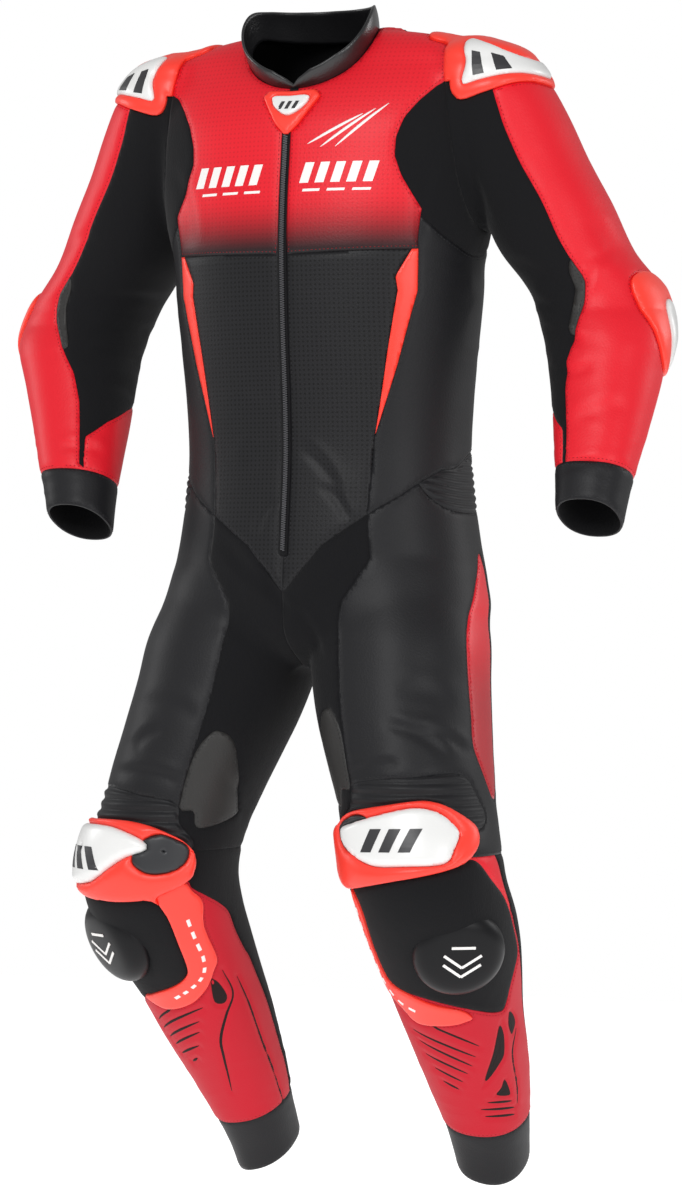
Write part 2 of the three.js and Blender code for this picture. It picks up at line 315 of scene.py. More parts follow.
class Skin:
    """Triangles with a label each, points with their normals, and points that lie on a seam."""

    def __init__(self, points, quads):
        self.p = points
        normals = gradient(points)
        self.n = normals / np.maximum(np.linalg.norm(normals, axis=1), 1e-9)[:, None]
        self.t = np.concatenate([quads[:, [0, 1, 2]], quads[:, [0, 2, 3]]])
        self.label = np.full(len(self.t), "body", dtype="U24")
        self.fixed = np.zeros(len(points), bool)

    def paint(self, name, field, within):
        """Cuts along the field's zero line in the labels named, and labels the positive side."""
        chosen = np.isin(self.label, within)
        if not chosen.any():
            return
        used = np.unique(self.t[chosen])
        value = np.full(len(self.p), -99.0)
        value[used] = field(self.p[used])
        self.snap(value, chosen)
        sign = np.sign(value).astype(int)
        corner = sign[self.t]
        crossed = chosen & (corner.max(1) == 1) & (corner.min(1) == -1)
        plain = chosen & ~crossed
        self.label[plain & (corner.sum(1) > 0)] = name
        if not crossed.any():
            return
        old = self.t[crossed]
        base = self.label[crossed]
        sg = corner[crossed]
        keep_t = self.t[~crossed]
        keep_l = self.label[~crossed]
        edges = np.concatenate([old[:, [0, 1]], old[:, [1, 2]], old[:, [2, 0]]])
        edges = np.sort(edges, axis=1)
        need = sign[edges[:, 0]] * sign[edges[:, 1]] == -1
        unique = np.unique(edges[need], axis=0)
        a, b = unique[:, 0], unique[:, 1]
        t = (value[a] / (value[a] - value[b]))[:, None]
        first_new = len(self.p)
        self.p = np.concatenate([self.p, self.p[a] * (1 - t) + self.p[b] * t])
        normal = self.n[a] * (1 - t) + self.n[b] * t
        self.n = np.concatenate([self.n, normal / np.linalg.norm(normal, axis=1)[:, None]])
        self.fixed = np.concatenate([self.fixed, np.ones(len(a), bool)])
        keys = a.astype(np.int64) * first_new + b

        def middle(one, two):
            low, high = np.minimum(one, two), np.maximum(one, two)
            return first_new + np.searchsorted(keys, low.astype(np.int64) * first_new + high)

        new_t, new_l = [keep_t], [keep_l]

        def add(rows, corners, side):
            new_t.append(np.stack(corners, 1))
            label = base[rows].copy()
            label[side > 0] = name
            new_l.append(label)

        with_zero = (sg == 0).any(1)
        rows = np.flatnonzero(with_zero)
        if len(rows):
            turn = np.argmax(sg[rows] == 0, axis=1)
            tri = np.stack([old[rows, (turn + k) % 3] for k in range(3)], 1)
            s = np.stack([sg[rows, (turn + k) % 3] for k in range(3)], 1)
            m = middle(tri[:, 1], tri[:, 2])
            add(rows, (tri[:, 0], tri[:, 1], m), s[:, 1])
            add(rows, (tri[:, 0], m, tri[:, 2]), s[:, 2])
        rows = np.flatnonzero(~with_zero)
        if len(rows):
            lone = -np.sign(sg[rows].sum(1))[:, None]
            turn = np.argmax(sg[rows] == lone, axis=1)
            tri = np.stack([old[rows, (turn + k) % 3] for k in range(3)], 1)
            s = sg[rows, turn]
            m, n = middle(tri[:, 0], tri[:, 1]), middle(tri[:, 0], tri[:, 2])
            add(rows, (tri[:, 0], m, n), s)
            add(rows, (m, tri[:, 1], tri[:, 2]), -s)
            add(rows, (m, tri[:, 2], n), -s)
        self.t = np.concatenate(new_t)
        self.label = np.concatenate(new_l)

    def snap(self, value, chosen):
        """Moves free points that nearly lie on the line onto it."""
        tri = self.t[chosen]
        edges = np.concatenate([tri[:, [0, 1]], tri[:, [1, 2]], tri[:, [2, 0]]])
        edges = np.concatenate([edges, edges[:, ::-1]])
        va, vb = value[edges[:, 0]], value[edges[:, 1]]
        cross = va * vb < 0
        edges, va, vb = edges[cross], va[cross], vb[cross]
        t = va / (va - vb)
        limit = np.where(self.fixed[edges[:, 0]], 0.04, 0.24)
        near = t < limit
        edges, t = edges[near], t[near]
        order = np.argsort(-t, kind="stable")
        edges, t = edges[order], t[order]
        start, end = edges[:, 0], edges[:, 1]
        place = self.p[start] * (1 - t[:, None]) + self.p[end] * t[:, None]
        free = ~self.fixed[start]
        self.p[start[free]] = place[free]
        value[start] = 0
        self.fixed[start] = True


def interp(table, at):
    """Column 1 of a table whose column 0 falls or rises."""
    rows = np.array(table, float)
    if rows[0, 0] > rows[-1, 0]:
        rows = rows[::-1]
    return np.interp(at, rows[:, 0], rows[:, 1])


def soft_step(t):
    """A smooth step from 0 to 1."""
    t = np.clip(t, 0, 1)
    return t * t * (3 - 2 * t)


def rounded(outline, steps=5):
    """A closed outline with curves through its points."""
    p = np.array(outline, float)
    before, after, later = np.roll(p, 1, 0), np.roll(p, -1, 0), np.roll(p, -2, 0)
    rows = []
    for k in range(steps):
        t = k / steps
        rows.append(0.5 * (2 * p + (after - before) * t + (2 * before - 5 * p + 4 * after - later) * t**2
                           + (3 * p - before - 3 * after + later) * t**3))
    return np.stack(rows, 1).reshape(-1, 2)


def outline_distance(u, v, outline):
    """How far inside a closed outline each point is: negative outside."""
    low, high = outline.min(0) - 14, outline.max(0) + 14
    near = (u > low[0]) & (u < high[0]) & (v > low[1]) & (v < high[1])
    result = np.full(len(u), -12.0)
    pu, pv = u[near][:, None], v[near][:, None]
    a = outline
    b = np.roll(outline, -1, 0)
    d = b - a
    length = np.maximum((d * d).sum(1), 1e-9)
    t = np.clip(((pu - a[:, 0]) * d[:, 0] + (pv - a[:, 1]) * d[:, 1]) / length, 0, 1)
    away = np.hypot(pu - a[:, 0] - t * d[:, 0], pv - a[:, 1] - t * d[:, 1]).min(1)
    above = (a[:, 1] > pv) != (b[:, 1] > pv)
    slope = np.where(np.abs(d[:, 1]) < 1e-9, 1e-9, d[:, 1])
    crossing = above & (pu < d[:, 0] * (pv - a[:, 1]) / slope + a[:, 0])
    inside = crossing.sum(1) % 2 == 1
    result[near] = np.where(inside, away, -away)
    return result


DEGREE = 1.6  # mm round a limb for one degree


def angle(kind, side, p):
    """Degrees round a limb, from its front toward the outer side."""
    cx, cy, _, _ = section(kind, side, p[:, 2])
    return np.degrees(np.arctan2((p[:, 0] - cx) * side, cy - p[:, 1]))


def on_limb(kind, side, outline, curved=True):
    """A field that is positive inside an outline of heights and angles."""
    rows = np.array(outline, float)[:, ::-1] * [DEGREE, 1]
    shape = rounded(rows) if curved else rows
    return lambda p: outline_distance(angle(kind, side, p) * DEGREE, p[:, 2], shape)


def in_view(side, outline, axes=(0, 2), curved=True):
    """A field that is positive inside an outline seen along Y, or along X with axes (1, 2)."""
    rows = np.array(outline, float)
    shape = rounded(rows) if curved else rows
    sign = side if axes[0] == 0 else 1
    return lambda p: outline_distance(p[:, axes[0]] * sign, p[:, axes[1]], shape)


def raised(outline, side):
    """The wearer's left knee stands a little higher than the right one."""
    return [[z + KNEE_LIFT[side], turn] for z, turn in outline]


def plane(side, normal, at):
    """A field that grows along a plane's normal, mirrored for the right side."""
    turn = np.array([side, 1, 1])
    return lambda p: (p - np.array(at) * turn) @ (np.array(normal, float) * turn)


def both_of(*fields):
    """A field that is positive where all the fields are."""
    return lambda p: np.minimum.reduce([f(p) for f in fields])


# Outlines on the legs and arms: height, degrees from the front toward the outer side
THIGH_SEAM = [
    [-400, 15], [-530, 15], [-564, 10], [-590, -2], [-614, -12], [-640, -17], [-700, -18],
    [-770, -20], [-830, -23], [-850, -25], [-920, -26],
]
KNEE_WINDOW = [
    [-886, -18], [-890, -30], [-900, -42], [-916, -43], [-928, -34], [-931, -18], [-918, -6],
    [-898, -8],
]
KNEE_LIFT = {1: 28, -1: 0}
KNEE_PATCH = [
    [-853, -25], [-793, -22], [-768, -27], [-766, -33], [-778, -45], [-812, -59], [-853, -77],
    [-864, -82], [-879, -47], [-859, -37],
]
SIDE_STRIPE = [
    [-556, 103], [-579, 95], [-628, 77], [-660, 71], [-702, 73], [-747, 75], [-782, 76],
    [-818, 91], [-842, 106], [-830, 118], [-747, 116], [-660, 112], [-590, 112],
]
ACCORDION = {
    1: [
        [-823, -20], [-815, 20], [-812, 58], [-838, 76], [-868, 84], [-880, 40], [-872, -44],
        [-850, -30],
    ],
    -1: [
        [-850, -22], [-841, 5], [-836, 20], [-832, 45], [-842, 72], [-880, 86], [-905, 40],
        [-905, -45], [-872, -30],
    ],
}
HIP_RIBS = [[148, -462], [170, -450], [190, -436], [196, -470], [190, -508], [170, -504], [150, -480]]
KNEE_FRAME = {
    1: [
        [-842, 21], [-847, 1], [-853, -21], [-859, -33], [-868, -43], [-877, -60], [-912, -61],
        [-928, -60], [-942, -43], [-931, 1], [-922, 30], [-913, 49], [-902, 60], [-888, 67],
        [-872, 65], [-858, 53], [-847, 41], [-842, 31],
    ],
    -1: [
        [-873, 60], [-871, 40], [-871, 10], [-876, -10], [-885, -26], [-894, -38], [-908, -48],
        [-926, -50], [-940, -44], [-958, -20], [-963, -5], [-963, 15], [-958, 35], [-950, 60],
        [-934, 70], [-912, 74], [-888, 70],
    ],
}
KNEE_CENTRE = {
    1: [
        [-850, 20], [-858, -3], [-868, -26], [-874, -37], [-890, -38], [-904, -28], [-915, -12],
        [-915, 9], [-912, 36], [-896, 44], [-882, 49], [-871, 46], [-855, 35],
    ],
    -1: [
        [-879, 60], [-878, 25], [-883, 7], [-894, -11], [-904, -14], [-915, 1], [-938, 21],
        [-944, 33], [-946, 54], [-930, 68], [-905, 71], [-886, 67],
    ],
}
SLIDER_PANEL = {
    1: [
        [-942, -43], [-931, 1], [-913, 49], [-907, 58], [-913, 68], [-931, 80], [-950, 94],
        [-967, 99], [-991, 102], [-1021, 108], [-1038, 99], [-1059, 86], [-1089, 70], [-1094, 57],
        [-1092, 42], [-1084, 19], [-1074, -4], [-1065, -22], [-1048, -38], [-1014, -40], [-972, -38],
    ],
    -1: [
        [-962, -18], [-963, 15], [-955, 45], [-930, 70], [-931, 80], [-950, 94], [-967, 99],
        [-991, 102], [-1021, 108], [-1038, 99], [-1059, 86], [-1089, 70], [-1094, 57], [-1092, 42],
        [-1084, 19], [-1074, -4], [-1062, -18], [-1048, -24], [-1014, -26], [-985, -26],
    ],
}
STRIP = {
    1: [
        [-943, -44], [-967, -46], [-1016, -47], [-1057, -44], [-1074, -36], [-1089, -25],
        [-1102, -18], [-1108, -7], [-1107, 14], [-1102, 26], [-1098, 31], [-1089, 24], [-1081, 2],
        [-1068, -17], [-1057, -33], [-1035, -40], [-1010, -42], [-972, -38],
    ],
    -1: [
        [-942, -43], [-952, -48], [-967, -55], [-997, -50], [-1035, -51], [-1052, -43],
        [-1072, -32], [-1092, -15], [-1101, 3], [-1099, 16], [-1086, 28], [-1084, 19], [-1074, -4],
        [-1062, -18], [-1048, -24], [-1014, -26], [-985, -26], [-960, -22], [-950, -32],
    ],
}
KNEE_SLIVER = [
    [-906, 62], [-902, 89], [-924, 101], [-964, 104], [-969, 98], [-939, 88], [-915, 73],
]
SHIN = [
    [-938, -41], [-950, -49], [-961, -62], [-970, -74], [-982, -85], [-1005, -88], [-1029, -94],
    [-1046, -100], [-1120, -108], [-1210, -112], [-1330, -112], [-1330, 118], [-1090, 120],
    [-1050, 118], [-1021, 114], [-991, 106], [-967, 100], [-940, 60], [-930, 10],
]
SLEEVE_INNER = [
    [-8, 24], [-20, 22], [-60, 18], [-110, 16], [-170, 17], [-205, 17], [-240, 14], [-270, 4],
    [-290, -5], [-335, -20], [-370, -25], [-400, -25], [-478, -25], [-478, -31], [-415, -32],
    [-396, -60], [-380, -100], [-370, -150], [-300, -154], [-200, -152], [-8, -150],
]
ELBOW_PATCH = [
    [-218, 17], [-240, 15], [-262, 7], [-285, -2], [-306, -10], [-301, -15], [-280, -9],
    [-255, 0], [-232, 6],
]
SHOULDER_CUP = [
    [130, 95], [220, 95], [320, 80], [320, -14], [272, -8], [228, -22], [196, -30], [184, -14],
    [187, 10], [184, 28], [166, 41], [140, 53],
]
SHOULDER_CENTRE = [
    [196, 40], [224, 33], [262, 18], [300, 10], [300, -4], [262, 0], [222, -8], [200, -12],
    [203, 12],
]
SHOULDER_BACK_Y = 40.0
SHOULDER_CENTRE_Y = 12.0
ELBOW_CUP = [
    [-22, -240], [18, -230], [56, -244], [70, -278], [64, -324], [38, -350], [4, -344],
    [-18, -316], [-28, -272],
]
ELBOW_CENTRE = [
    [24, -266], [46, -262], [60, -286], [58, -322], [40, -344], [22, -340], [14, -318], [15, -288],
]
SHIELD = [
    [0, -70], [14, -56], [26, -38], [36, -22], [30, -14], [0, -16], [-30, -14], [-36, -22],
    [-26, -38], [-14, -56],
]
SHIELD_CENTRE = [
    [0, -46], [18, -36], [24, -26], [20, -21], [0, -22], [-20, -21], [-24, -26], [-18, -36],
]
STRIPE_INNER = [
    [-190, 156], [-196, 152], [-236, 131], [-252, 133], [-313, 122], [-337, 118], [-424, 104],
]
UNDERARM = [[140, -156], [152, -162], [165, -174], [185, -198], [205, -232], [230, -250]]

ARMHOLE = ([-1, 0, -0.13], [176, 0, 0])
CUFF_SEAM = ([0, 0.35, 1], [356, -74, -468])
CUFF_END = ([0, 0.69, 1], [360, -98, -520])
ANKLE_SEAM = ([0.2, -0.5, 1], [156, 96, -1232])
HEM = ([0.3, -0.62, 1], [150, 132, -1292])
KNEE_Z = -905.0
CHEST_SEAM = -205.0
ZIP_FOOT = -560.0
ZIP_HALF = 5.2
NECK_HALF = (79.0, 77.0)
NECK_AT = np.array([0, -40.5, 17.5])
NECK_ROOM = 1.03
NECK_LEAN = 0.62
NECK_AXIS = np.array([0, -math.sin(NECK_LEAN), math.cos(NECK_LEAN)])
NECK_ACROSS = np.array([0, math.cos(NECK_LEAN), math.sin(NECK_LEAN)])


def front_to_back(y):
    """0 in front and 1 behind, with a short change at the side."""
    return soft_step((y - SIDE_Y + 30) / 60)


def waist_field(p):
    """Positive below the waist seam."""
    x = np.abs(p[:, 0])
    behind = front_to_back(p[:, 1])
    return interp(WAIST_FRONT, x) * (1 - behind) + interp(WAIST_BACK, x) * behind - p[:, 2]


def side_field(p):
    """Positive outside the front's and the back's side edges."""
    behind = front_to_back(p[:, 1])
    edge = interp(FRONT_EDGE[:, ::-1], p[:, 2]) * (1 - behind)
    edge += interp(BACK_EDGE[:, ::-1], p[:, 2]) * behind
    return np.abs(p[:, 0]) - edge


def neck_field(p):
    """Positive in the neck opening."""
    q = p - NECK_AT
    ring = np.hypot(q[:, 0] / NECK_HALF[0], q @ NECK_ACROSS / NECK_HALF[1])
    return np.minimum((NECK_ROOM - ring) * NECK_HALF[1], q @ NECK_AXIS + 70)


def side_of(side):
    """The name of the wearer's side."""
    return "left" if side > 0 else "right"


def cut_panels(skin):
    """Cuts the whole skin into the suit's panels."""
    skin.paint("none", neck_field, ["body"])
    for side in (1, -1):
        away = plane(side, *ARMHOLE)
        skin.paint("sleeve_" + side_of(side), lambda p: -away(p), ["body"])
    skin.paint("below", waist_field, ["body"])
    skin.paint("side", side_field, ["body"])
    skin.paint("back", lambda p: p[:, 1] - SIDE_Y, ["body"])
    skin.paint("flank", lambda p: interp(UNDERARM, np.abs(p[:, 0])) - p[:, 2], ["side"])
    skin.paint("shield", both_of(in_view(1, SHIELD, curved=False), lambda p: -p[:, 1] - 20), ["body"])
    skin.paint("shield_centre", in_view(1, SHIELD_CENTRE), ["shield"])
    skin.paint(
        "zip_tape",
        lambda p: np.minimum.reduce([ZIP_HALF - np.abs(p[:, 0]), p[:, 2] - ZIP_FOOT, -20 - p[:, 1]]),
        ["body", "below"],
    )
    skin.paint("belly", lambda p: CHEST_SEAM - 4 + 5 * np.abs(p[:, 0]) / 150 - p[:, 2], ["body"])
    skin.paint(
        "stripe",
        lambda p: np.abs(p[:, 0]) - interp(STRIPE_INNER, p[:, 2]),
        ["belly"],
    )
    seat = lambda p: np.minimum(interp(SEAT_EDGE[:, ::-1], p[:, 2]) - np.abs(p[:, 0]), p[:, 1] - SIDE_Y)
    skin.paint("seat", both_of(seat, lambda p: p[:, 2] + 712), ["below"])
    for side in (1, -1):
        end = "_" + side_of(side)
        near = lambda p, side=side: p[:, 0] * side
        for name in ("body", "belly", "stripe", "side", "flank"):
            skin.paint(("chest" if name == "body" else name) + end, near, [name])
        sleeve = "sleeve" + end
        skin.paint("none", lambda p, side=side: -plane(side, *CUFF_END)(p), [sleeve])
        skin.paint("cuff" + end, lambda p, side=side: -plane(side, *CUFF_SEAM)(p), [sleeve])
        skin.paint("sleeve_inner" + end, on_limb("arm", side, SLEEVE_INNER, False), [sleeve])
        skin.paint("elbow_patch" + end, on_limb("arm", side, ELBOW_PATCH), ["sleeve_inner" + end])
        outer = lambda p, side=side: p[:, 0] * side - 350
        cup = both_of(in_view(side, ELBOW_CUP, (1, 2)), outer)
        skin.paint("elbow_cup" + end, cup, [sleeve])
        skin.paint("elbow_centre" + end, in_view(side, ELBOW_CENTRE, (1, 2)), ["elbow_cup" + end])
        ahead = lambda p: SHOULDER_BACK_Y - p[:, 1]
        over = [sleeve, "sleeve_inner" + end, "chest" + end, "back", "side" + end]
        skin.paint("shoulder_cup" + end, both_of(in_view(side, SHOULDER_CUP), ahead), over)
        centre = both_of(in_view(side, SHOULDER_CENTRE), lambda p: SHOULDER_CENTRE_Y - p[:, 1])
        skin.paint("shoulder_centre" + end, centre, ["shoulder_cup" + end])

        thigh, shin, calf = "thigh" + end, "shin" + end, "calf" + end
        skin.paint(thigh, near, ["below"])
        skin.paint("none", lambda p, side=side: -plane(side, *HEM)(p), [thigh])
        skin.paint("ankle" + end, lambda p, side=side: -plane(side, *ANKLE_SEAM)(p), [thigh])
        skin.paint(calf, lambda p: KNEE_Z - p[:, 2], [thigh])

        def inner(p, side=side):
            turn = angle("leg", side, p)
            return np.minimum(interp(THIGH_SEAM, p[:, 2]) - turn, turn + 142) * DEGREE

        skin.paint("inner" + end, inner, [thigh])
        skin.paint("knee_patch" + end, on_limb("leg", side, raised(KNEE_PATCH, side)), ["inner" + end])
        skin.paint("side_stripe" + end, on_limb("leg", side, SIDE_STRIPE), [thigh])
        front = lambda p: -p[:, 1] + 40
        skin.paint("hip_ribs" + end, both_of(in_view(side, HIP_RIBS), front), [thigh])
        skin.paint("accordion" + end, on_limb("leg", side, ACCORDION[side]), [thigh, "inner" + end])
        skin.paint(shin, on_limb("leg", side, SHIN), [calf])
        skin.paint("slider_panel" + end, on_limb("leg", side, SLIDER_PANEL[side]), [calf, shin])
        strip = on_limb("leg", side, STRIP[side])
        skin.paint("strip" + end, strip, [calf, shin, "slider_panel" + end])
        skin.paint("sliver" + end, on_limb("leg", side, KNEE_SLIVER), [calf, shin])
        over = [calf, shin, thigh, "inner" + end, "accordion" + end, "knee_patch" + end]
        over += ["slider_panel" + end, "strip" + end, "sliver" + end]
        skin.paint("knee_cup" + end, on_limb("leg", side, KNEE_FRAME[side]), over)
        skin.paint("knee_centre" + end, on_limb("leg", side, KNEE_CENTRE[side]), ["knee_cup" + end])
        window = on_limb("leg", side, raised(KNEE_WINDOW, side))
        skin.paint("knee_window" + end, window, ["knee_cup" + end])


# Folds

def smooth_noise(p, cell, seed):
    """Soft random values from -1 to 1, with cells of the size given along x, y and z."""
    q = p / np.array(cell, float)
    whole = np.floor(q)
    f = q - whole
    f = f * f * (3 - 2 * f)
    total = np.zeros(len(p))
    for corner in np.ndindex(2, 2, 2):
        c = whole + corner
        key = c @ np.array([127.1, 311.7, 74.7]) + seed * 19.19
        value = np.sin(key) * 43758.5453
        value = (value - np.floor(value)) * 2 - 1
        weight = np.prod(np.where(np.array(corner) == 1, f, 1 - f), axis=1)
        total += value * weight
    return total


VIEW_TURN = math.radians(24)
VIEW_RIGHT = np.array([math.cos(VIEW_TURN), math.sin(VIEW_TURN), 0])
VIEW_IN = np.array([-math.sin(VIEW_TURN), math.cos(VIEW_TURN), 0])
VIEW_Z = -612.0
VIEW_AWAY = 5000.0
PIXEL = 1.2
AXIS_PIXEL = 335.0
TOP_PIXEL = 90.0


def in_photo(p):
    """Each point's place in the photo's frame of 682 by 1200."""
    q = p - np.array([0, 0, VIEW_Z])
    deep = q @ VIEW_IN + VIEW_AWAY
    grow = VIEW_AWAY / deep
    across = AXIS_PIXEL + (q @ VIEW_RIGHT) * grow / PIXEL
    down = TOP_PIXEL - (VIEW_Z + q[:, 2] * grow) / PIXEL
    return across, down


CREASES = [
    # x and y of both ends, sideways bow, half width, depth: all in the photo's pixels
    [304, 448, 341, 499, 4, 6, 2.2],
    [322, 486, 349, 520, 3, 5, 2.0],
    [272, 500, 254, 534, -3, 6, 1.8],
    [262, 566, 288, 612, -3, 5, 2.2],
    [298, 611, 320, 656, 3, 5, 2.2],
    [284, 596, 222, 540, 5, 7, 1.8],
    [306, 600, 362, 548, -5, 7, 1.8],
    [276, 640, 224, 618, 5, 8, 1.4],
    [389, 724, 448, 756, 5, 6, 2.4],
    [416, 727, 468, 751, 4, 5, 2.0],
    [352, 776, 398, 763, 3, 6, 2.0],
    [400, 690, 452, 704, 5, 9, 1.3],
    [134, 748, 160, 729, 3, 6, 2.0],
    [118, 772, 180, 782, 4, 6, 1.8],
    [140, 704, 196, 716, 5, 9, 1.3],
    [96, 330, 176, 342, 5, 6, 2.4],
    [88, 352, 170, 372, 6, 6, 2.4],
    [84, 378, 150, 402, 5, 6, 2.0],
    [104, 300, 180, 306, 4, 6, 1.8],
    [528, 300, 566, 322, 3, 6, 2.2],
    [540, 330, 580, 344, 3, 6, 2.2],
    [548, 372, 590, 366, -3, 6, 1.8],
    [510, 260, 560, 292, 4, 7, 1.8],
    [172, 170, 190, 246, 5, 7, 1.8],
    [430, 170, 420, 240, -5, 7, 1.8],
    [462, 170, 486, 232, 5, 7, 2.0],
    [596, 268, 566, 292, 3, 5, 1.8],
    [612, 250, 580, 262, 3, 6, 1.6],
    [560, 470, 600, 462, 2, 5, 1.6],
    [62, 446, 104, 452, 2, 5, 1.6],
    [226, 780, 276, 840, 6, 7, 2.2],
    [238, 806, 268, 880, 4, 6, 2.0],
    [336, 730, 350, 800, -4, 7, 1.8],
    [250, 470, 270, 440, 4, 9, 1.2],
    [240, 396, 268, 420, 5, 10, 1.0],
    [60, 250, 92, 236, 3, 7, 1.4],
    [590, 220, 622, 262, 3, 8, 1.4],
    [574, 420, 626, 404, 3, 8, 1.4],
]


def crease_depth(p, n):
    """The listed troughs and ridges, on the side that the photo shows."""
    across, down = in_photo(p)
    facing = soft_step((-(n @ VIEW_IN) - 0.08) / 0.3)
    total = np.zeros(len(p))
    for x0, y0, x1, y1, bow, half, depth in CREASES:
        dx, dy = x1 - x0, y1 - y0
        length = math.hypot(dx, dy)
        along = ((across - x0) * dx + (down - y0) * dy) / length**2
        off = ((across - x0) * dy - (down - y0) * dx) / length
        off = off - bow * np.sin(np.clip(along, 0, 1) * math.pi)
        ends = soft_step((along + 0.15) / 0.35) * soft_step((1.15 - along) / 0.35)
        share = off / half
        total -= depth * ends * np.exp(-share * share)
        ridge = (off - 1.7 * half) / half
        total += 0.55 * depth * ends * np.exp(-ridge * ridge)
    return total * facing


FOLD_ZONES = [
    # centre x, y, z; reach along x, y, z; depth; cell along x, y and z of the wrinkles
    [190, 20, -250, 50, 90, 90, 1.5, 60, 60, 22],
    [330, 0, -285, 90, 90, 60, 2.2, 70, 70, 17],
    [225, 0, -90, 60, 120, 90, 1.5, 40, 70, 45],
    [30, -60, -640, 60, 150, 70, 1.8, 50, 60, 24],
    [110, 100, -600, 140, 70, 130, 2.0, 80, 60, 34],
    [150, -20, -880, 110, 60, 80, 2.6, 60, 60, 19],
    [150, 100, -1200, 90, 110, 70, 1.2, 60, 60, 18],
    [100, 110, -300, 160, 60, 160, 1.4, 90, 60, 38],
    [360, -60, -450, 80, 90, 50, 1.2, 60, 60, 16],
]


def fold_height(p, n):
    """How far the cloth stands out or in at each point, in mm."""
    total = 0.8 * smooth_noise(p, (120, 120, 100), 3) + 0.12 * smooth_noise(p, (40, 40, 30), 5)
    mirrored = np.abs(p[:, 0])
    for row in FOLD_ZONES:
        centre, reach, depth, cell = row[0:3], row[3:6], row[6], row[7:10]
        q = (np.stack([mirrored, p[:, 1], p[:, 2]], 1) - centre) / np.array(reach, float)
        near = np.exp(-(q * q).sum(1) * 1.2)
        tilt = p.copy()
        tilt[:, 2] += 0.22 * mirrored
        wave = 1 - 2 * np.abs(smooth_noise(tilt, cell, 11))
        total += 0.8 * near * depth * (wave - 0.35)
    return total + crease_depth(p, n)


# Panels to objects

def boundary_edges(tri):
    """The edges that only one triangle has."""
    edges = np.concatenate([tri[:, [0, 1]], tri[:, [1, 2]], tri[:, [2, 0]]])
    key = np.sort(edges, axis=1)
    _, index, count = np.unique(key, axis=0, return_index=True, return_counts=True)
    return edges[index[count == 1]]


def finer(p, n, tri):
    """Each triangle cut into four."""
    edges = np.sort(np.concatenate([tri[:, [0, 1]], tri[:, [1, 2]], tri[:, [2, 0]]]), axis=1)
    unique, place = np.unique(edges, axis=0, return_inverse=True)
    place = place.reshape(3, -1) + len(p)
    middle = (p[unique[:, 0]] + p[unique[:, 1]]) / 2
    normal = n[unique[:, 0]] + n[unique[:, 1]]
    normal /= np.linalg.norm(normal, axis=1)[:, None]
    ab, bc, ca = place
    a, b, c = tri.T
    new = np.concatenate([
        np.stack([a, ab, ca], 1), np.stack([ab, b, bc], 1), np.stack([ca, bc, c], 1),
        np.stack([ab, bc, ca], 1),
    ])
    return np.concatenate([p, middle]), np.concatenate([n, normal]), new


def edge_distance(p, edges):
    """Distance from each point to the panel's edge."""
    ends = p[edges]
    spots = np.concatenate([ends[:, 0], ends.mean(1)])
    tree = kdtree.KDTree(len(spots))
    for i, spot in enumerate(spots):
        tree.insert(spot, i)
    tree.balance()
    return np.array([tree.find(point)[2] for point in p])


def join_islands(skin, share):
    """Gives each island much smaller than its panel's largest part to the panel beside it."""
    t = skin.t
    edges = np.sort(np.concatenate([t[:, [0, 1]], t[:, [1, 2]], t[:, [2, 0]]]), axis=1)
    owner = np.tile(np.arange(len(t)), 3)
    key = edges[:, 0].astype(np.int64) * len(skin.p) + edges[:, 1]
    order = np.argsort(key, kind="stable")
    same = key[order][1:] == key[order][:-1]
    a, b = owner[order][:-1][same], owner[order][1:][same]
    alike = skin.label[a] == skin.label[b]
    one, two = a[alike], b[alike]
    root = np.arange(len(t))
    settled = False
    while not settled:
        low = np.minimum(root[one], root[two])
        new = root.copy()
        np.minimum.at(new, one, low)
        np.minimum.at(new, two, low)
        new = new[new]
        settled = (new == root).all()
        root = new
    first, part, count = np.unique(root, return_inverse=True, return_counts=True)
    part_label = skin.label[first]
    for k, name in enumerate(part_label):
        largest = count[part_label == name].max()
        if name == "zip_tape" or count[k] >= share * largest:
            continue
        mine = part == k
        crossing = mine[a] != mine[b]
        beside = np.where(mine[a], b, a)[crossing]
        found, votes = np.unique(skin.label[beside], return_counts=True)
        if len(found):
            skin.label[mine] = found[np.argmax(votes)]


class Look:
    """How one panel is finished: its node, its colour slot (not used), and its raised or sunk form."""

    def __init__(self, node, slot, material, rise=0.0, bevel=0.0, detail=0, dip=1.3, curl=6.0,
                 relief=None):
        self.node, self.slot, self.material = node, slot, material
        self.rise, self.bevel, self.detail = rise, bevel, detail
        self.dip, self.curl, self.relief = dip, curl, relief


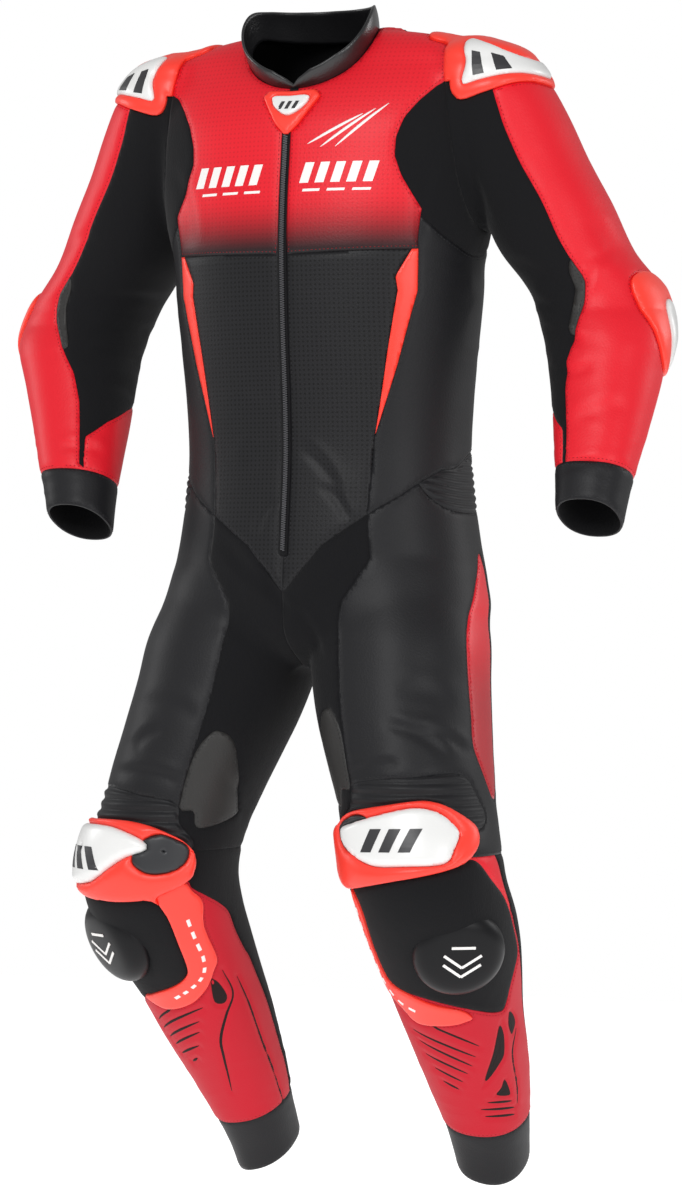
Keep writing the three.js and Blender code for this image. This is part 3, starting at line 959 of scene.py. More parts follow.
def build_piece(skin, label, look, lining):
    """One panel as a closed shell with a wall, a seam at its edge and its folds."""
    tri = skin.t[skin.label == label]
    used, place = np.unique(tri, return_inverse=True)
    tri = place.reshape(-1, 3)
    p, n = skin.p[used], skin.n[used]
    for _ in range(look.detail):
        p, n, tri = finer(p, n, tri)
    edges = boundary_edges(tri)
    away = edge_distance(p, edges)
    height = fold_height(p, n)
    if look.relief is not None:
        height = height + look.relief(p, away)
    if look.rise:
        share = np.clip(away / look.bevel, 0, 1)
        height = height + look.rise * (0.35 + 0.65 * np.sqrt(1 - (1 - share)**2))
    else:
        height = height - look.dip * (1 - soft_step(away / look.curl))
    outer = p + n * height[:, None]
    floor = np.minimum(height, 0) if look.rise else height
    inner = p + n * (floor - WALL)[:, None]
    count = len(p)
    rim = np.concatenate([
        np.stack([edges[:, 1], edges[:, 0], edges[:, 0] + count], 1),
        np.stack([edges[:, 1], edges[:, 0] + count, edges[:, 1] + count], 1),
    ])
    faces = np.concatenate([tri, tri[:, ::-1] + count, rim])
    obj = make_mesh(label, np.concatenate([outer, inner]), faces, [look.material, lining])
    index = np.zeros(len(faces), np.int32)
    index[len(tri):2 * len(tri)] = 1
    mesh = obj.data
    if len(mesh.polygons) == len(faces):
        mesh.polygons.foreach_set("material_index", index)
    smooth = np.ones(len(mesh.polygons), bool)
    smooth[2 * len(tri):] = False
    mesh.polygons.foreach_set("use_smooth", smooth)
    seam = mesh.attributes.new("seam", "FLOAT", "POINT")
    seam.data.foreach_set("value", np.concatenate([away, away]).astype(np.float32))
    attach(obj, "root")
    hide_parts(look.node)
    return obj


# Finishes

def shader(name, colour, rough, coat=0.0, sheen=0.0, glow=0.0, metal=0.0, shine=0.5):
    """A material with the plain numbers of its surface."""
    m = bpy.data.materials.new(name)
    m.use_nodes = True
    nodes, links = m.node_tree.nodes, m.node_tree.links
    main = nodes["Principled BSDF"]
    main.inputs["Base Color"].default_value = (*colour, 1)
    main.inputs["Roughness"].default_value = rough
    main.inputs["Coat Weight"].default_value = coat
    main.inputs["Coat Roughness"].default_value = 0.3
    main.inputs["Sheen Weight"].default_value = sheen
    main.inputs["Metallic"].default_value = metal
    main.inputs["Specular IOR Level"].default_value = shine
    if glow:
        main.inputs["Emission Color"].default_value = (*colour, 1)
        main.inputs["Emission Strength"].default_value = glow
    return m, nodes, links, main


def grain(nodes, links, main, size, strength, stretch=(1, 1, 1)):
    """A fine bump over the surface."""
    place = nodes.new("ShaderNodeTexCoord")
    mapping = nodes.new("ShaderNodeMapping")
    mapping.inputs["Scale"].default_value = stretch
    links.new(place.outputs["Object"], mapping.inputs["Vector"])
    cells = nodes.new("ShaderNodeTexVoronoi")
    cells.inputs["Scale"].default_value = size
    links.new(mapping.outputs["Vector"], cells.inputs["Vector"])
    waves = nodes.new("ShaderNodeTexNoise")
    waves.inputs["Scale"].default_value = size * 0.07
    waves.inputs["Detail"].default_value = 4
    links.new(mapping.outputs["Vector"], waves.inputs["Vector"])
    mix = nodes.new("ShaderNodeMath")
    mix.operation = "MULTIPLY_ADD"
    mix.inputs[1].default_value = 0.4
    links.new(cells.outputs["Distance"], mix.inputs[0])
    links.new(waves.outputs["Fac"], mix.inputs[2])
    bump = nodes.new("ShaderNodeBump")
    bump.inputs["Strength"].default_value = strength
    bump.inputs["Distance"].default_value = 0.0012
    links.new(mix.outputs[0], bump.inputs["Height"])
    links.new(bump.outputs["Normal"], main.inputs["Normal"])
    return place, waves


def leather(name, colour, rough=0.42, strength=0.3, coat=0.08, shine=0.4):
    """A leather finish."""
    m, nodes, links, main = shader(name, colour, rough, coat, shine=shine)
    grain(nodes, links, main, 420, strength)
    return m


def stretch_cloth(name, colour):
    """A finish of ribbed stretch cloth."""
    m, nodes, links, main = shader(name, colour, 0.9, 0.0, 0.05, shine=0.18)
    grain(nodes, links, main, 700, 0.5, (1, 1, 0.3))
    return m


def plastic(name, colour, rough, glow=0.0, coat=0.3, shine=0.5):
    """A finish of hard plastic."""
    m, nodes, links, main = shader(name, colour, rough, coat, 0, glow, shine=shine)
    grain(nodes, links, main, 900, 0.04)
    return m


RED = (0.74, 0.010, 0.022)
DARK_RED = (0.42, 0.008, 0.016)
FLUO = (0.92, 0.040, 0.022)
BLACK = (0.0095, 0.0095, 0.0110)
GREY = (0.022, 0.021, 0.020)
PALE = (0.80, 0.80, 0.79)
RED_LEATHER = leather("red_leather", RED, 0.46, coat=0.03, shine=0.28)
BLACK_LEATHER = leather("black_leather", BLACK, 0.52, coat=0.03, shine=0.25)
STRETCH = stretch_cloth("stretch_cloth", (0.0055, 0.0055, 0.0065))
GREY_PATCH = leather("grey_patch", GREY, 0.6)
COLLAR = leather("collar_leather", (0.010, 0.010, 0.011), 0.3, 0.4, 0.3, 0.5)
LINING = stretch_cloth("lining", (0.007, 0.007, 0.008))
# The fluo plastic has a painted glow: an emission of strength 0.06 in its own colour, added to its lit
# colour.
GLOWING_FLUO_PLASTIC = plastic("glowing_fluo_plastic", FLUO, 0.42, 0.06, 0.15)
PALE_PLASTIC = plastic("pale_plastic", PALE, 0.32)
PUCK = plastic("puck_plastic", (0.004, 0.004, 0.005), 0.4, coat=0.0, shine=0.22)
GREY_PLASTIC = plastic("grey_plastic", (0.016, 0.017, 0.020), 0.45, coat=0.1)
SHIN_LEATHER = leather("shin_leather", (0.52, 0.004, 0.018), 0.55, 0.25, 0.0, 0.25)
VENT_CLOTH = stretch_cloth("vent_cloth", (0.016, 0.010, 0.010))
THREAD = stretch_cloth("thread", (0.030, 0.030, 0.032))
RED_THREAD = stretch_cloth("red_thread", (0.30, 0.010, 0.016))
PRINT = plastic("pale_print", (0.86, 0.84, 0.82), 0.6)
DARK_PRINT = plastic("dark_print", (0.022, 0.022, 0.025), 0.5)
METAL = shader("zip_metal", (0.16, 0.16, 0.17), 0.35, metal=0.9)[0]


def perforate(m, pitch, radius, depth=0.5):
    """Rows of small dark holes, straight through from front to back."""
    nodes, links = m.node_tree.nodes, m.node_tree.links
    main = nodes["Principled BSDF"]
    place = nodes.new("ShaderNodeTexCoord")
    scale = nodes.new("ShaderNodeVectorMath")
    scale.operation = "SCALE"
    scale.inputs["Scale"].default_value = 1 / pitch
    links.new(place.outputs["Object"], scale.inputs[0])
    cell = nodes.new("ShaderNodeVectorMath")
    cell.operation = "FRACTION"
    links.new(scale.outputs[0], cell.inputs[0])
    middle = nodes.new("ShaderNodeVectorMath")
    middle.operation = "SUBTRACT"
    middle.inputs[1].default_value = (0.5, 0.5, 0.5)
    links.new(cell.outputs[0], middle.inputs[0])
    flat = nodes.new("ShaderNodeVectorMath")
    flat.operation = "MULTIPLY"
    flat.inputs[1].default_value = (1, 0, 1)
    links.new(middle.outputs[0], flat.inputs[0])
    size = nodes.new("ShaderNodeVectorMath")
    size.operation = "LENGTH"
    links.new(flat.outputs[0], size.inputs[0])
    hole = nodes.new("ShaderNodeMapRange")
    hole.inputs["From Min"].default_value = radius
    hole.inputs["From Max"].default_value = radius + 0.12
    hole.inputs["To Min"].default_value = 1 - depth
    hole.inputs["To Max"].default_value = 1
    links.new(size.outputs["Value"], hole.inputs["Value"])
    shade = nodes.new("ShaderNodeMix")
    shade.data_type = "RGBA"
    shade.blend_type = "MULTIPLY"
    shade.inputs[0].default_value = 1
    source = main.inputs["Base Color"]
    if source.is_linked:
        links.new(source.links[0].from_socket, shade.inputs[6])
    else:
        shade.inputs[6].default_value = source.default_value
    links.new(hole.outputs["Result"], shade.inputs[7])
    links.new(shade.outputs[2], source)
    return m


def fade_by_height(m, low, high, under, over):
    """The colour changes from one to the other between two heights."""
    nodes, links = m.node_tree.nodes, m.node_tree.links
    place = nodes.new("ShaderNodeTexCoord")
    part = nodes.new("ShaderNodeSeparateXYZ")
    links.new(place.outputs["Object"], part.inputs[0])
    spread = nodes.new("ShaderNodeMapRange")
    spread.interpolation_type = "SMOOTHSTEP"
    spread.inputs["From Min"].default_value = low
    spread.inputs["From Max"].default_value = high
    links.new(part.outputs["Z"], spread.inputs["Value"])
    mix = nodes.new("ShaderNodeMix")
    mix.data_type = "RGBA"
    mix.inputs[6].default_value = (*under, 1)
    mix.inputs[7].default_value = (*over, 1)
    links.new(spread.outputs["Result"], mix.inputs[0])
    links.new(mix.outputs[2], nodes["Principled BSDF"].inputs["Base Color"])
    return m


CHEST_LEATHER = leather("chest_leather", RED, 0.46, coat=0.03, shine=0.28)
fade_by_height(CHEST_LEATHER, -0.208, -0.135, BLACK, RED)
perforate(CHEST_LEATHER, 0.0055, 0.16, 0.16)
BELLY_LEATHER = leather("belly_leather", BLACK, 0.52, coat=0.03, shine=0.25)
perforate(BELLY_LEATHER, 0.0055, 0.18, 0.8)
STRIPE_LEATHER = fade_by_height(leather("stripe_leather", RED), -0.74, -0.62, DARK_RED, RED)


def ribs(axis_z, pitch, depth, slope=0.0):
    """Parallel ribs across a panel, faded out at its edge."""
    def relief(p, away):
        along = p[:, 2] + slope * p[:, 0] * np.sign(p[:, 0])
        wave = 0.5 + 0.5 * np.cos(2 * math.pi * (along - axis_z) / pitch)
        return depth * (wave ** 0.7 - 0.4) * soft_step(away / 5)
    return relief


SLITS = {
    # height and angle at the start and the end of each slit in the shin
    1: [
        [-1093, -27, -1135, 31], [-1116, -25, -1149, 26], [-1130, -22, -1161, 21],
        [-1147, -21, -1171, 15], [-1165, -16, -1182, 8], [-1182, -12, -1192, 2],
    ],
    -1: [
        [-1118, 32, -1083, -25], [-1129, 31, -1100, -20], [-1140, 28, -1118, -12],
        [-1150, 26, -1132, -8], [-1162, 25, -1150, -1], [-1172, 16, -1167, 8],
    ],
}
BARS = [[-1209, 28, -1209, 61], [-1218, 19, -1218, 65], [-1227, 22, -1227, 64]]
CURVES = {
    1: [[-1117, 89], [-1147, 72], [-1190, 74], [-1213, 73]],
    -1: [[-1053, -52], [-1081, -53], [-1108, -38], [-1140, -24], [-1164, -19], [-1210, -11]],
}
LONG_CURVE = [[-1062, -66], [-1108, -68], [-1153, -70], [-1208, -76], [-1232, -84]]
VENTS = {
    1: [
        [[-1102, 61], [-1117, 65], [-1147, 60], [-1162, 50], [-1188, 29], [-1183, 27], [-1147, 42],
         [-1117, 53]],
        [[-1092, 77], [-1096, 86], [-1110, 91], [-1124, 80], [-1126, 74], [-1110, 71]],
        [[-1177, 54], [-1196, 61], [-1203, 58], [-1201, 37], [-1190, 46]],
    ],
    -1: [[[-1060, -38], [-1072, -34], [-1096, -30], [-1098, -40], [-1086, -47], [-1066, -44]]],
}
SLIT_ROOM = 5.0
SLIT_DEPTH = 1.6


def densify(rows, step=3.0):
    """Points a few millimetres apart along a curve of heights and angles."""
    rows = np.array(rows, float)
    if len(rows) > 2:
        padded = np.concatenate([[2 * rows[0] - rows[1]], rows, [2 * rows[-1] - rows[-2]]])
        curve = []
        for a, b, c, d in zip(padded[:-3], padded[1:-2], padded[2:-1], padded[3:]):
            t = (np.arange(8) / 8)[:, None]
            curve.append(0.5 * (2 * b + (c - a) * t + (2 * a - 5 * b + 4 * c - d) * t**2
                                + (3 * b - a - 3 * c + d) * t**3))
        rows = np.concatenate(curve + [rows[-1:]])
    size = np.hypot(np.diff(rows[:, 0]), np.diff(rows[:, 1]) * DEGREE)
    along = np.concatenate([[0], np.cumsum(size)])
    count = max(4, int(along[-1] / step))
    at = np.linspace(0, along[-1], count)
    return np.stack([np.interp(at, along, rows[:, 0]), np.interp(at, along, rows[:, 1])], 1)


def shin_lines(side):
    """The slits of one shin as lines of heights and angles."""
    lines = [densify([row[0:2], row[2:4]]) for row in SLITS[side]]
    if side == 1:
        lines += [densify([row[0:2], row[2:4]]) for row in BARS]
    else:
        lines.append(densify(LONG_CURVE))
    return lines + [densify(CURVES[side])]


def shin_relief(side):
    """Troughs along the slits and vents of the shin."""
    lines = [line[:, ::-1] * [DEGREE, 1] for line in shin_lines(side)]

    def relief(p, away):
        u, v = angle("leg", side, p) * DEGREE, p[:, 2]
        nearest = np.full(len(p), 99.0)
        low = v < -1040
        for line in lines:
            for spot in line:
                nearest[low] = np.minimum(nearest[low], np.hypot(u[low] - spot[0], v[low] - spot[1]))
        inside = np.full(len(p), -12.0)
        for vent in VENTS[side]:
            inside = np.maximum(inside, on_limb("leg", side, vent)(p))
        trough = np.exp(-(nearest / SLIT_ROOM) ** 2) + soft_step((inside + 2) / 4)
        return 0.8 * soft_step((-1060 - v) / 40) - SLIT_DEPTH * np.minimum(trough, 1.2)
    return relief


LOOKS = {
    "back": Look("back", "leather_black", BLACK_LEATHER),
    "seat": Look("seat", "leather_black", BLACK_LEATHER),
    "zip_tape": Look("zip", "zip_metal", STRETCH, dip=0.0),
    "shield": Look("zip_shield", "leather_red", GLOWING_FLUO_PLASTIC, 4.5, 4.0, 1),
    "shield_centre": Look("zip_shield", "leather_red", PALE_PLASTIC, 5.2, 3.0, 1),
}
for side_name in ("left", "right"):
    end = "_" + side_name
    front, side_node, sleeve = "front" + end, "side" + end, "sleeve" + end
    inner, thigh, shin = "inner" + end, "thigh" + end, "shin" + end
    LOOKS.update({
        "chest" + end: Look(front, "leather_red", CHEST_LEATHER),
        "belly" + end: Look(front, "leather_black", BELLY_LEATHER),
        "stripe" + end: Look(front, "cup_fluo", GLOWING_FLUO_PLASTIC, dip=0.8, curl=4),
        "side" + end: Look(side_node, "stretch_black", STRETCH),
        "flank" + end: Look(side_node, "leather_black", BLACK_LEATHER),
        sleeve: Look(sleeve, "leather_red", RED_LEATHER),
        "sleeve_inner" + end: Look(sleeve, "stretch_black", STRETCH),
        "elbow_patch" + end: Look(sleeve, "leather_black", GREY_PATCH, dip=0.6),
        "cuff" + end: Look("cuff" + end, "leather_black", BLACK_LEATHER),
        "elbow_cup" + end: Look("elbow_cup" + end, "cup_fluo", GLOWING_FLUO_PLASTIC, 4.5, 12, 1),
        "elbow_centre" + end: Look("elbow_cup" + end, "cup_fluo", PALE_PLASTIC, 6, 10, 1),
        "shoulder_cup" + end: Look("shoulder_cup" + end, "cup_fluo", GLOWING_FLUO_PLASTIC, 4.5, 12, 1),
        "shoulder_centre" + end: Look("shoulder_cup" + end, "cup_fluo", PALE_PLASTIC, 6, 8, 1),
        thigh: Look(thigh, "leather_black", BLACK_LEATHER),
        "side_stripe" + end: Look(thigh, "leather_red", STRIPE_LEATHER),
        "hip_ribs" + end: Look(thigh, "leather_black", BLACK_LEATHER, detail=2,
                               relief=ribs(0, 9.0, 2.0, 0.35)),
        "accordion" + end: Look(thigh, "leather_black", BLACK_LEATHER, detail=2,
                                relief=ribs(-815, 12.5, 2.4)),
        inner: Look(inner, "stretch_black", STRETCH),
        "knee_patch" + end: Look(inner, "leather_black", GREY_PATCH),
        "calf" + end: Look(shin, "stretch_black", STRETCH),
        shin: Look(shin, "leather_red", SHIN_LEATHER, detail=1,
                   relief=shin_relief(1 if side_name == "left" else -1)),
        "slider_panel" + end: Look(shin, "leather_black", STRETCH),
        "strip" + end: Look(shin, "cup_fluo", GLOWING_FLUO_PLASTIC, 3, 5, 1),
        "sliver" + end: Look(shin, "leather_red", RED_LEATHER),
        "ankle" + end: Look("ankle" + end, "leather_black", BLACK_LEATHER),
        "knee_cup" + end: Look("knee_cup" + end, "cup_fluo", GLOWING_FLUO_PLASTIC, 10, 14, 1),
        "knee_window" + end: Look("knee_cup" + end, "cup_white", GREY_PLASTIC, 7, 4, 1),
        "knee_centre" + end: Look("knee_cup" + end, "cup_white", PALE_PLASTIC, 12, 10, 1),
    })

skin = Skin(*body_mesh())
cut_panels(skin)
join_islands(skin, 0.06)
PIECES = {}
for label in sorted(set(skin.label) - {"none"}):
    PIECES[label] = build_piece(skin, label, LOOKS[label], LINING)

# The cut of each cloth panel before it is sewn: width and length in metres, and its flat area
CUTS = {
    "back": (0.42, 0.52, 0.167),
    "seat": (0.38, 0.34, 0.0905),
    "zip_tape": (0.0105, 0.57, 0.0057),
    "chest": (0.20, 0.29, 0.0405),
    "belly": (0.155, 0.40, 0.039),
    "stripe": (0.025, 0.235, 0.0032),
    "side": (0.22, 0.21, 0.0198),
    "flank": (0.23, 0.35, 0.0559),
    "sleeve": (0.36, 0.56, 0.127),
    "sleeve_inner": (0.22, 0.52, 0.0632),
    "elbow_patch": (0.020, 0.095, 0.0010),
    "cuff": (0.27, 0.075, 0.0149),
    "thigh": (0.40, 0.48, 0.1265),
    "side_stripe": (0.085, 0.30, 0.0170),
    "hip_ribs": (0.14, 0.07, 0.0067),
    "accordion": (0.20, 0.06, 0.0073),
    "inner": (0.22, 0.40, 0.0503),
    "knee_patch": (0.10, 0.12, 0.0070),
    "calf": (0.30, 0.40, 0.0769),
    "shin": (0.24, 0.40, 0.0602),
    "slider_panel_left": (0.24, 0.20, 0.0395),
    "slider_panel_right": (0.21, 0.18, 0.0300),
    "sliver": (0.030, 0.10, 0.0016),
    "ankle": (0.29, 0.09, 0.0212),
    "collar": (0.50, 0.045, 0.0165),
}


def declare_cut(label, obj):
    """Looks a piece's name up in the table of cuts, and does nothing more."""
    stem = label.removesuffix("_left").removesuffix("_right")
    if label not in CUTS and stem not in CUTS:
        return


for label, piece in PIECES.items():
    declare_cut(label, piece)


# Collar, zip teeth and sliders

def lathe_ring(name, rows, closed_rows, material, node):
    """A closed solid from rows of points round a ring. Rows that aren't closed get a flat end each."""
    count = len(rows[0])
    points = np.concatenate(rows)
    faces = []
    lines = len(rows)
    for r in range(lines if closed_rows else lines - 1):
        q = (r + 1) % lines
        for k in range(count):
            m = (k + 1) % count
            faces.append((r * count + k, r * count + m, q * count + m, q * count + k))
    if not closed_rows:
        faces.append(tuple(range(count))[::-1])
        faces.append(tuple(range((lines - 1) * count, lines * count)))
    obj = make_mesh(name, points, faces, [material])
    for polygon in obj.data.polygons:
        polygon.use_smooth = True
    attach(obj, "root")
    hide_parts(node)
    return obj


COLLAR_WALL = 3.0
COLLAR_HEIGHTS = [[0, 5], [0.10, 13], [0.30, 21], [0.7, 25], [1.3, 26], [2.2, 34], [3.15, 36]]
COLLAR_FLARE = 0.05
COLLAR_SINK = 5.0


def neck_seam(ring):
    """How far up the neck's axis the body's surface lies, at each point round it."""
    foot = []
    steps = np.arange(-70, 70, 0.5)
    for u, v in ring:
        line = NECK_AT + np.array([u, 0, 0]) + v * NECK_ACROSS
        place = line + steps[:, None] * NECK_AXIS
        outside = distance(*place.T) > -3
        foot.append(steps[np.argmax(outside)])
    foot = np.array(foot)
    for _ in range(6):
        foot = (np.roll(foot, 1) + 2 * foot + np.roll(foot, -1)) / 4
    return foot


def collar():
    """The standing collar, which dips to a point at the zip."""
    count = 144
    lines = 10
    turn = np.arange(count) / count * 2 * math.pi
    ring = np.stack([np.sin(turn) * NECK_HALF[0], -np.cos(turn) * NECK_HALF[1]], 1)
    foot = neck_seam(ring)
    from_front = np.minimum(turn, 2 * math.pi - turn)
    high = interp(COLLAR_HEIGHTS, from_front)
    up = [k / lines for k in range(lines + 1)]
    profile = [(1.0 + COLLAR_FLARE * math.sin(share * 2.0), share) for share in up]
    top = profile[-1][0]
    thin = COLLAR_WALL / NECK_HALF[1]
    profile += [(top - 0.3 * thin, 1.03), (top - 0.7 * thin, 1.03)]
    profile += [(grow - thin, share) for grow, share in profile[lines::-1]]
    rows = []
    for grow, share in profile:
        across = ring[:, :1] * grow * np.array([1, 0, 0]) + ring[:, 1:] * grow * NECK_ACROSS
        along = foot - COLLAR_SINK + (high + COLLAR_SINK) * share
        rows.append(NECK_AT + across + along[:, None] * NECK_AXIS)
    return lathe_ring("collar", rows, True, COLLAR, "collar")


declare_cut("collar", collar())


PUCK_AT = (219.0, -143.0, -1016.0)
PUCK_FACING = (0.5, -0.72, -0.42)


def puck_frame(side):
    """A slider's middle, the way it faces, and two ways across its face."""
    facing = np.array(PUCK_FACING) * [side, 1, 1]
    facing /= np.linalg.norm(facing)
    u = np.cross(facing, [0, 0, 1])
    u /= np.linalg.norm(u)
    return np.array(PUCK_AT) * [side, 1, 1], facing, u, np.cross(u, facing)


def slider_puck(side):
    """One knee slider as a turned disc."""
    middle, facing, u, v = puck_frame(side)
    profile = [
        (0, -10), (50, -10), (53.4, -6), (54, -1), (53.4, 4), (51.6, 8.6), (48.6, 12.6), (45, 15.8),
        (41, 18.2), (36, 20), (29, 21.2), (20, 21.9), (10, 22.2), (0, 22.3),
    ]
    count = 64
    turn = np.arange(count) / count * 2 * math.pi
    rows = []
    for radius, high in profile[1:-1]:
        ring = np.cos(turn)[:, None] * u + np.sin(turn)[:, None] * v
        rows.append(middle + ring * radius + facing * high)
    return lathe_ring("knee_slider_" + side_of(side), rows, False, PUCK,
                      "knee_slider_" + side_of(side))


for side in (1, -1):
    slider_puck(side)


# Lines, stitches and motifs on the surface

def limb_points(kind, side, rows):
    """Points on the bare body at heights and angles."""
    z, turn = rows[:, 0], np.radians(rows[:, 1])
    cx, cy, a, b = section(kind, side, z)
    ux, uy = np.sin(turn), np.cos(turn)
    out = ((np.abs(ux) / a) ** POWER + (np.abs(uy) / b) ** POWER) ** (-1 / POWER)
    return settle(np.stack([cx + side * ux * out, cy - uy * out, z], 1))


def front_points(rows):
    """Points on the bare body's front at places across and heights."""
    x, z = rows[:, 0], rows[:, 1]
    y = np.full(len(x), -175.0)
    for _ in range(14):
        y = y + np.clip(distance(x, y, z) * 0.9, -20, 20)
    return np.stack([x, y, z], 1)


def outward(p):
    """The body's normal at each point."""
    g = gradient(p)
    return g / np.maximum(np.linalg.norm(g, axis=1), 1e-9)[:, None]


class Surface:
    """The outside of some finished pieces, to lay things on."""

    def __init__(self, labels):
        points, faces, count = [], [], 0
        for label in labels:
            mesh = PIECES[label].data
            spots = np.empty(len(mesh.vertices) * 3)
            mesh.vertices.foreach_get("co", spots)
            points.append(spots.reshape(-1, 3) / MM)
            sides = np.empty(len(mesh.polygons) * 3, np.int32)
            mesh.loops.foreach_get("vertex_index", sides)
            faces.append(sides.reshape(-1, 3) + count)
            count += len(mesh.vertices)
        points = np.concatenate(points).tolist()
        self.tree = bvhtree.BVHTree.FromPolygons(points, np.concatenate(faces).tolist())

    def lay(self, p, n):
        """Each point dropped onto the surface along its normal."""
        laid = p.copy()
        for i, (spot, normal) in enumerate(zip(p, n)):
            hit = self.tree.ray_cast(Vector(spot + normal * 40), Vector(-normal), 90)[0]
            laid[i] = hit if hit is not None else self.tree.find_nearest(Vector(spot))[0]
        return laid


def finish_piece(obj, node, smooth=True):
    """Sets a piece's smooth faces, body and replaced node."""
    for polygon in obj.data.polygons:
        polygon.use_smooth = smooth
    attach(obj, "root")
    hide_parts(node)
    return obj


def ribbons(name, surface, lines, width, lift, material, node, taper=True, sink=0.8):
    """Narrow strips along lines of bare points: one closed solid each."""
    points, faces = [], []
    for line in lines:
        n = outward(line)
        q = surface.lay(line, n)
        ahead = np.gradient(q, axis=0)
        ahead /= np.linalg.norm(ahead, axis=1)[:, None]
        across = np.cross(ahead, n)
        across /= np.linalg.norm(across, axis=1)[:, None]
        t = np.linspace(0, 1, len(q))
        half = width / 2 * (np.sqrt(np.clip(np.sin(math.pi * t), 0.03, 1)) if taper else np.ones(len(q)))
        first = len(points)
        for k in range(len(q)):
            for share, high in ((-1, -sink), (-0.7, lift), (0.7, lift), (1, -sink)):
                points.append(q[k] + across[k] * half[k] * share + n[k] * high)
        for k in range(len(q) - 1):
            a, b = first + 4 * k, first + 4 * (k + 1)
            for m in range(4):
                m2 = (m + 1) % 4
                faces.append((a + m, a + m2, b + m2, b + m))
        end = first + 4 * (len(q) - 1)
        faces.append((first + 3, first + 2, first + 1, first))
        faces.append((end, end + 1, end + 2, end + 3))
    return finish_piece(make_mesh(name, points, faces, [material]), node)


def patches(name, surface, shapes, place, lift, material, node, sink=0.8, steps=(7, 5)):
    """Four-cornered motifs laid on a surface: one closed solid each.

    place turns a chart's rows into points on the bare body.
    """
    points, faces = [], []
    across, down = steps
    for shape in shapes:
        c = np.array(shape, float)
        u, v = np.meshgrid(np.linspace(0, 1, across + 1), np.linspace(0, 1, down + 1), indexing="ij")
        u, v = u.reshape(-1, 1), v.reshape(-1, 1)
        rows = (c[0] * (1 - u) + c[1] * u) * (1 - v) + (c[3] * (1 - u) + c[2] * u) * v
        bare = place(rows)
        n = outward(bare)
        q = surface.lay(bare, n)
        first = len(points)
        count = len(q)
        points += list(q + n * lift) + list(q - n * sink)
        grid = first + np.arange(count).reshape(across + 1, down + 1)
        for i in range(across):
            for j in range(down):
                top = (grid[i, j], grid[i + 1, j], grid[i + 1, j + 1], grid[i, j + 1])
                faces.append(top)
                faces.append(tuple(k + count for k in top[::-1]))
        ring = list(grid[:, 0]) + list(grid[-1, 1:]) + list(grid[-2::-1, -1]) + list(grid[0, -2:0:-1])
        for a, b in zip(ring, ring[1:] + ring[:1]):
            faces.append((b, a, a + count, b + count))
    obj = make_mesh(name, points, faces, [material])
    face_normals_out(obj)
    return finish_piece(obj, node, False)


def fans(name, surface, outlines, side, lift, material, node, sink=0.8):
    """Rounded flat shapes on a leg, each fanned from its middle: one closed solid each."""
    points, faces = [], []
    for outline in outlines:
        ring = rounded(outline, 3)
        middle = ring.mean(0)
        rows = np.concatenate([[middle], middle + (ring - middle) * 0.5, ring])
        bare = limb_points("leg", side, rows)
        n = outward(bare)
        q = surface.lay(bare, n)
        first, count, m = len(points), len(q), len(ring)
        points += list(q + n * lift) + list(q - n * sink)
        for base, turn in ((first, 1), (first + count, -1)):
            for k in range(m):
                a, b = 1 + k, 1 + (k + 1) % m
                faces.append(tuple([base, base + a, base + b][::turn]))
                faces.append(tuple([base + a, base + a + m, base + b + m, base + b][::turn]))
        for k in range(m):
            a, b = first + 1 + m + k, first + 1 + m + (k + 1) % m
            faces.append((b, a, a + count, b + count))
    obj = make_mesh(name, points, faces, [material])
    face_normals_out(obj)
    return finish_piece(obj, node, False)


def face_normals_out(obj):
    """Turns the faces of a closed piece outward."""
    shape = bmesh.new()
    shape.from_mesh(obj.data)
    bmesh.ops.recalc_face_normals(shape, faces=shape.faces)
    shape.to_mesh(obj.data)
    shape.free()


STITCH_FACES = (
    (0, 2, 4), (2, 1, 4), (1, 3, 4), (3, 0, 4), (2, 0, 5), (1, 2, 5), (3, 1, 5), (0, 3, 5),
)


def stitches(name, labels, material, node, inset=3.4, pitch=5.0, length=3.0, thick=0.55):
    """A row of stitches inside each panel's edge."""
    points, faces = [], []
    for label in labels:
        tri = skin.t[skin.label == label]
        p, n = skin.p, skin.n
        edges = boundary_edges(tri)
        following = {a: b for a, b in edges}
        surface = Surface([label])
        waiting = set(following)
        while waiting:
            start = waiting.pop()
            loop = [start]
            while following.get(loop[-1]) in waiting:
                loop.append(following[loop[-1]])
                waiting.discard(loop[-1])
            if len(loop) < 12:
                continue
            line, normal = p[loop], n[loop]
            for _ in range(3):
                line = (np.roll(line, 1, 0) + 2 * line + np.roll(line, -1, 0)) / 4
            ahead = np.roll(line, -1, 0) - np.roll(line, 1, 0)
            ahead /= np.maximum(np.linalg.norm(ahead, axis=1), 1e-6)[:, None]
            inward = np.cross(normal, ahead)
            row = line + inward * inset
            size = np.linalg.norm(np.diff(row, axis=0), axis=1)
            along = np.concatenate([[0], np.cumsum(size)])
            spots = np.arange(pitch, along[-1] - pitch, pitch)
            place = np.stack([np.interp(spots, along, row[:, k]) for k in range(3)], 1)
            out = np.stack([np.interp(spots, along, normal[:, k]) for k in range(3)], 1)
            way = np.stack([np.interp(spots, along, ahead[:, k]) for k in range(3)], 1)
            side = np.cross(out, way)
            laid = surface.lay(place, out)
            for q, o, w, s in zip(laid, out, way, side):
                first = len(points)
                for d in (w * length / 2, -w * length / 2, s * thick, -s * thick, o * thick, -o * thick):
                    points.append(q + d)
                for a, b, c in STITCH_FACES:
                    faces.append((first + a, first + b, first + c))
    return finish_piece(make_mesh(name, points, faces, [material]), node)


